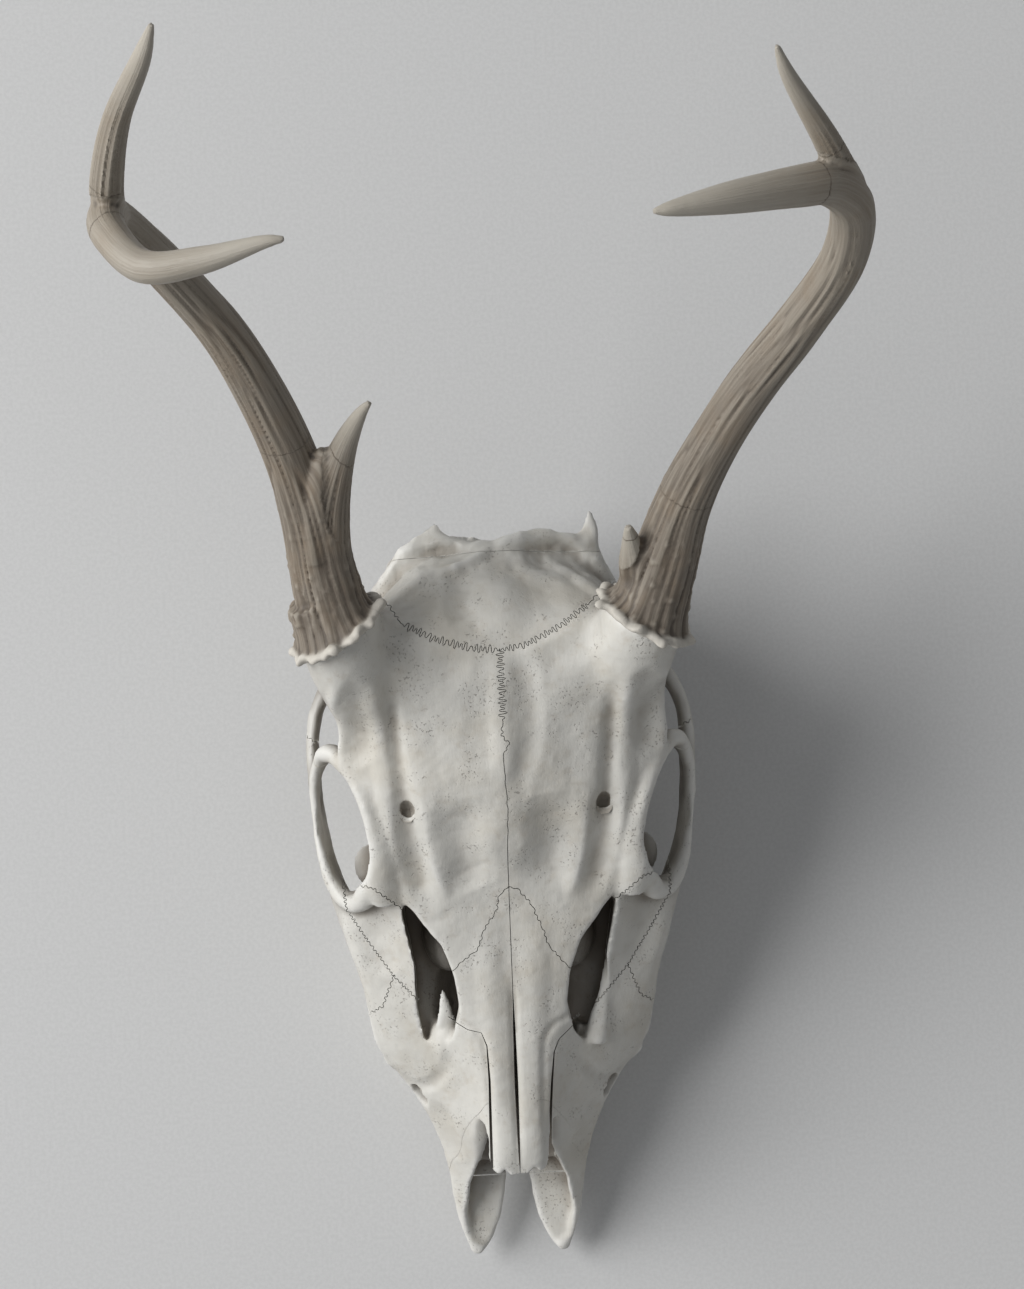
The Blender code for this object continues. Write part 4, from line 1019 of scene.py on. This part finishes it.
# The crowns' hollows darken towards deep brown: tartar, and painted shade in the creases
colour = enamel.tint(enamel.attribute("crevice").between(0.1, 0.8), colour, TARTAR_AND_SHADE)
enamel_finish = enamel.surface(colour, growth, 0.1)
for teeth in (teeth_left, teeth_right):
    row = Skin(teeth)
    row.stand_on_floor(WORN)
    row.grain(2.2, 0.16, 1.3)
    row.stand_on_floor(WORN)
    row.keep("crevice", np.clip(-row.stands_out(6) * 3.0, 0, 1))
    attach(teeth, "root")
    teeth.data.shade_smooth()
    teeth.data.materials.append(enamel_finish)


# ------------------------------------------------------------------------------------ antlers
# Each antler is one growth of bone that stands on the frontal. Its foot is ringed by a crinkled
# burr; pearls and long grooves, left by the vessels of the velvet, run up the beam and fade towards
# the tines, whose tips are rubbed pale. It is parted at its forks, as it is in the frame.

ANTLER_FINE = 0.6      # corner spacing
HAIR = 0.02            # gap at a fork
# Each path is a row of (x, y, z, radius) from the burr to the tip
BEAMS = {
    "right": (
        (-49.5, 30, 114, 12), (-53.5, 45, 120.5, 9.9), (-56.5, 62, 132, 8.8), (-61, 79, 146, 8.0),
        (-68, 95, 162, 7.4), (-77.5, 111, 178, 6.8), (-90.5, 125.5, 198, 6.4), (-101.5, 135, 222, 5.9),
        (-103.5, 134, 234, 5.6), (-102, 127.5, 243, 5.2), (-92.5, 117, 253, 4.6), (-77, 117, 259, 3.8),
        (-61, 120, 264.5, 2.0), (-54.8, 120.5, 266, 0.9)),
    "left": (
        (45.5, 29.5, 114, 12), (51, 43.5, 120.5, 10.6), (57, 60.5, 133, 8.8), (65.5, 76, 149, 7.8),
        (76.5, 91.5, 166.5, 7.6), (89, 105.5, 186, 7.2), (98.3, 118.5, 208.5, 6.7), (98.8, 129, 230, 6.3),
        (91, 133, 244, 6.0), (81.5, 131.5, 251, 5.7), (62.5, 127.5, 260, 4.4), (47.5, 124.5, 265, 2.4),
        (41.4, 123.5, 266.4, 0.9))}
REAR_TINES = {
    "right": ((-103.5, 134.5, 222, 4.6), (-102.5, 142, 242, 4.7), (-98, 155.5, 257, 3.9),
              (-90, 168, 270, 2.8), (-86.2, 176, 276.4, 0.9)),
    "left": ((97.5, 133.5, 236, 4.8), (89.5, 144, 252, 3.8), (79, 157.5, 266, 2.3),
             (75.2, 164.6, 272.6, 0.9))}
BROW_TINES = {
    "right": ((-51, 38, 118, 10), (-51.8, 50, 125.5, 8), (-50.3, 62, 135.5, 6.8), (-47.3, 72, 144.5, 5.3),
              (-43.4, 80.5, 152.6, 3.7), (-39, 87, 160.5, 2.1), (-35.9, 90, 164.6, 0.9)),
    "left": ((45, 37, 116.5, 7.2), (42.6, 42, 121.5, 6), (41.2, 46.5, 127.5, 4.0), (40.2, 50, 132, 2.5),
             (39.5, 52.8, 135.8, 1.2))}
# The web of bone that fills the crotch of each brow tine
WEBS = {
    "right": ((-54, 50, 126, 8), (-53.5, 60, 133.5, 7.6), (-52.5, 68, 141, 6.4), (-51, 74.5, 147, 4.2),
              (-50, 78.5, 150, 2.2)),
    "left": ((46, 36, 117, 9), (44.8, 42, 122, 7), (44, 46, 126, 4.5), (43.2, 48.5, 128.5, 2))}
BURR_REACH = 14.2              # from the axis to the middle of the ring
RING_WIDE, RING_HIGH = 2.4, 1.5
RING_TURNS, RING_SIDES = 120, 12


def stand(axis):
    """An axis at unit length, and two directions square to it and to each other."""
    along = Vector(axis).normalized()
    across = along.cross(Vector((0, 0, 1))).normalized()
    return along, across, across.cross(along)


def burr(side):
    """A crinkled ring round the foot of a beam, with a knob on each swelling, and the flare above it."""
    foot, axis = BURRS[side]
    along, across, up = stand(axis)
    shift = 0.0 if side == "left" else 1.9
    rings, made = [], []
    for i, a in enumerate(angles(RING_TURNS)):
        swell = math.sin(13 * a + shift) + 0.6 * math.sin(8 * a + 2 * shift) + 0.5 * math.sin(21 * a)
        level = 1.6 + 0.55 * math.sin(9 * a + 1 + shift) + 0.35 * math.sin(17 * a)
        out = across * math.cos(a) + up * math.sin(a)
        heart = Vector(foot) + out * (BURR_REACH + 0.75 * swell) + along * level
        rings.append([heart + out * RING_WIDE * math.cos(b) + along * RING_HIGH * math.sin(b)
                      for b in angles(RING_SIDES)])
        if swell > 1.25 and i % 4 == 0:
            made.append(ball("knob", heart + out * 1.2, (1.9, 1.9, 1.7)))
    faces = []
    for r in range(RING_TURNS):
        here, there = r * RING_SIDES, (r + 1) % RING_TURNS * RING_SIDES
        for k in range(RING_SIDES):
            after = (k + 1) % RING_SIDES
            faces.append((here + k, here + after, there + after, there + k))
    made.append(add_piece("ring", [p for ring in rings for p in ring], faces))
    flare = [(*(Vector(foot) + along * level), radius) for level, radius in (
        (0.2, 15.2), (2.5, 14.6), (5.5, 12.9), (9.5, 11.2), (15, 9.5))]
    made.append(rod("flare", flare, 6, 40))
    made.append(drum(foot, axis, middle=1.4, radius=14.3, depth=3.4))
    return made


def follow(spots, path):
    """For each spot: distance from a rod's skin, run along it, and its place around it."""
    line = curve_through([p[:3] for p in path], 4)
    radii = [r.x for r in curve_through([(p[3], 0, 0) for p in path], 4)]
    best = np.full(len(spots), 1e9)
    run, around = np.zeros(len(spots)), np.zeros((len(spots), 2))
    walked = 0.0
    first = (line[1] - line[0]).cross(Vector((0, 0, 1))).normalized()
    for a, b, ra, rb in zip(line, line[1:], radii, radii[1:]):
        ahead = (b - a).normalized()
        first = (first - ahead * first.dot(ahead)).normalized()
        other = ahead.cross(first)
        away = spots - np.array(a)
        t = np.clip(away @ np.array(b - a) / (b - a).length_squared, 0, 1)
        away = away - t[:, None] * np.array(b - a)
        far = np.linalg.norm(away, axis=1)
        gap = far - (ra + (rb - ra) * t)
        closer = gap < best
        best[closer] = gap[closer]
        run[closer] = walked + t[closer] * (b - a).length
        flat = np.stack([away @ np.array(first), away @ np.array(other)], 1)
        flat /= np.maximum(np.linalg.norm(flat, axis=1), 1e-6)[:, None]
        around[closer] = flat[closer]
        walked += (b - a).length
    return best, run, around, walked


def blade(crotch, kept, other, reach=22, half_width=12):
    """A thin wall from a crotch to the far side of the branch that runs along kept, square to it."""
    kept, other = Vector(kept).normalized(), Vector(other).normalized()
    out = (kept * kept.dot(other) - other).normalized()
    across = kept.cross(out) * half_width
    start = Vector(crotch)
    corners = (start - across, start + across, start + out * reach + across, start + out * reach - across)
    return loft("blade", [[p - kept * HAIR / 2 for p in corners], [p + kept * HAIR / 2 for p in corners]])


def slab(centre, axis, radius, low, high):
    """A round cutter from low to high along an axis through a point."""
    along, across, up = stand(axis)
    circle = [(across * math.cos(a) + up * math.sin(a)) * radius for a in angles(48)]
    return loft("slab", [[Vector(centre) + along * level + p for p in circle] for level in (low, high)])


def fork(crotch, one, other, reaches=(22, 22)):
    """The two walls that part a fork, one across each branch."""
    return [blade(crotch, one, other, reaches[0]), blade(crotch, other, one, reaches[1])]


CUTS = {
    "right": fork((-50, 82.5, 151.5), (0.66, 0.40, 0.63), (-0.20, 0.76, 0.62), (22, 30))
             + fork((-102.5, 135.5, 246), (0.22, 0.65, 0.73), (0.55, -0.61, 0.58)),
    "left": [blade((43.8, 51.5, 132), (-0.15, 0.68, 0.72), (0.35, 0.75, 0.56), 14, 8),
             slab((58, 62, 134.5), (0.30, 0.75, 0.60), 13, -HAIR / 2, HAIR / 2)]
            + fork((87.7, 138.6, 250.5), (-0.43, 0.56, 0.70), (-0.80, -0.13, 0.59))}

# Pieces by name, with a point near the middle of each
ANTLER_SEEDS = {
    "right": {"base": (-55, 55, 128), "beam": (-85, 115, 190), "brow_tine": (-42, 83, 157),
              "rear_tine": (-95, 158, 258), "fore_tine": (-85, 118, 255)},
    "left": {"base": (51, 43, 121), "beam": (82, 98, 176), "brow_tine": (41, 49, 131),
             "rear_tine": (85, 150, 258), "fore_tine": (65, 128, 258)}}
BEAM_FIRST = 2.5               # a corner is the beam's unless it is this much nearer to a tine
PALE_BEAM, PALE_TINE = 95, 42  # how far down from its tip each one is worn
PEARLED = 55                   # how far up from the burr the pearls reach

horn = {}
for side, (foot, axis) in BURRS.items():
    paths = BEAMS[side], REAR_TINES[side], BROW_TINES[side]
    shells = [rod("branch", path, 10, 28) for path in (*paths, WEBS[side])]
    whole = fused("antler_" + side, shells + burr(side), ANTLER_FINE, 6)
    cut(whole, slab(foot, axis, 30, -40, SEAM))
    velvet = Skin(whole)
    branches = [follow(velvet.at, path) for path in paths]
    gaps, runs, turns = (np.array([branch[k] for branch in branches]) for k in range(3))
    mine = (gaps - np.array((BEAM_FIRST, 0, 0))[:, None]).argmin(0)
    corner = np.arange(len(mine))
    run, turn = runs[mine, corner], turns[mine, corner]
    left = np.array([branch[3] for branch in branches])[mine] - run
    tip = np.clip(1 - left / np.where(mine == 0, PALE_BEAM, PALE_TINE), 0, 1)
    rise = np.clip(runs[0] / branches[0][3], 0, 1)
    flow = np.stack([turn[:, 0] * 8, turn[:, 1] * 8, runs[0] * 0.045], 1)     # long along the beam

    # The outer edge of the burr
    away, along = velvet.at - np.array(foot), np.array(stand(axis)[0])
    level = away @ along
    outward = np.linalg.norm(away - level[:, None] * along, axis=1)
    rim = np.clip(1 - (level - 3.5) / 2.0, 0, 1) * np.clip((outward - 14.0) / 1.2, 0, 1)

    # Ditches run where the noise crosses zero, and they and the pearls fade towards the tips
    wild = uneven(flow / 2.6, 2.0) + 0.5 * uneven(flow / 1.3, 5.0)
    ditch = np.clip(1 - np.abs(wild) * 2.6, 0, 1) ** 1.5
    strength = (1 - tip) ** 1.2 * (1 - 0.45 * rise) * (1 - rim)
    low_down = np.clip(1 - run / PEARLED, 0, 1) * (mine == 0)
    pearl = np.clip(uneven(velvet.at / 2.3, 9.0) - 0.25, 0, 1) * low_down
    lift = (0.25 * wild - 0.7 * ditch) * strength + 0.9 * pearl * (1 - rim)
    lift += 0.25 * uneven(velvet.at / 1.6, 4.0) * rim
    velvet.at += velvet.normals * lift[:, None]
    velvet.refresh()
    relief = velvet.averaged(velvet.stands_out(5), 1) * 3.0
    # Hollows of the relief and the ditches, which the finish darkens with stain and painted shade
    crevice = np.clip(-relief, 0, 1) + 0.45 * ditch * strength
    for name, values in (("crevice", np.clip(crevice, 0, 1)), ("ridge", np.clip(relief, 0, 1)),
                         ("tip", tip), ("rise", rise), ("rim", rim), ("flow", flow)):
        velvet.keep(name, values)
    for tool in CUTS[side]:
        cut(whole, tool)
    for name, piece in split(whole, ANTLER_SEEDS[side], LEAST).items():
        piece.name = f"antler_{side}_{name}_piece"
        horn[f"antler_{side}_{name}"] = piece


# ------------------------------------------------------------------------------------ antler finish
# Brown where sap and bark have stained the grooved beam, darkest near the burr, with stain and painted
# shade deep in the grooves, and worn to pale bone on the burr's rim, the crests between the grooves and the
# tips.

DARK_BARK, PALE_BARK, UMBER = (0.15, 0.123, 0.095), (0.27, 0.235, 0.19), (0.22, 0.165, 0.11)
STREAK, WORN_TIP, CREST = (0.34, 0.30, 0.245), (0.50, 0.465, 0.40), (0.46, 0.42, 0.35)
PALE_RIM, GROOVE_STAIN_AND_SHADE = (0.60, 0.57, 0.51), (0.07, 0.054, 0.04)

antler = Finish("antler", 0.6)
crevice, ridge, tip, rise, rim = map(antler.attribute, ("crevice", "ridge", "tip", "rise", "rim"))
flow = antler.node("ShaderNodeAttribute", {"attribute_name": "flow"}, out="Vector")
fibre = antler.node("ShaderNodeTexNoise", {},
                    {"Vector": flow, "Scale": 1.1, "Detail": 5.0, "Roughness": 0.65})
blotch = antler.cloud(14, 4.0, 0.6)
colour = antler.tint(rise.between(0.0, 0.75), DARK_BARK, PALE_BARK)
colour = antler.tint(blotch.between(0.4, 0.7) * 0.5, colour, UMBER)
colour = antler.tint(fibre.between(0.42, 0.62) * 0.45, colour, STREAK)
colour = antler.tint((tip + fibre * 0.3 - 0.15).between(0.2, 1.15) * 0.9, colour, WORN_TIP)
colour = antler.tint(ridge.between(0.1, 0.7) * 0.35, colour, CREST)
colour = antler.tint(rim * 0.8, colour, PALE_RIM)
# Grooves and hollows darken almost to black: a stain, and painted shade in the creases
colour = antler.tint(crevice.between(0.15, 0.9) * 0.7, colour, GROOVE_STAIN_AND_SHADE)
antler_finish = antler.surface(colour, fibre, 0.25, 0.62 - tip * 0.22)
for name, piece in horn.items():
    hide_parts(name)
    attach(piece, "root")
    "antler_tine" if "tine" in name else "antler_" + name.split("_")[-1]
    coat(piece, antler_finish)
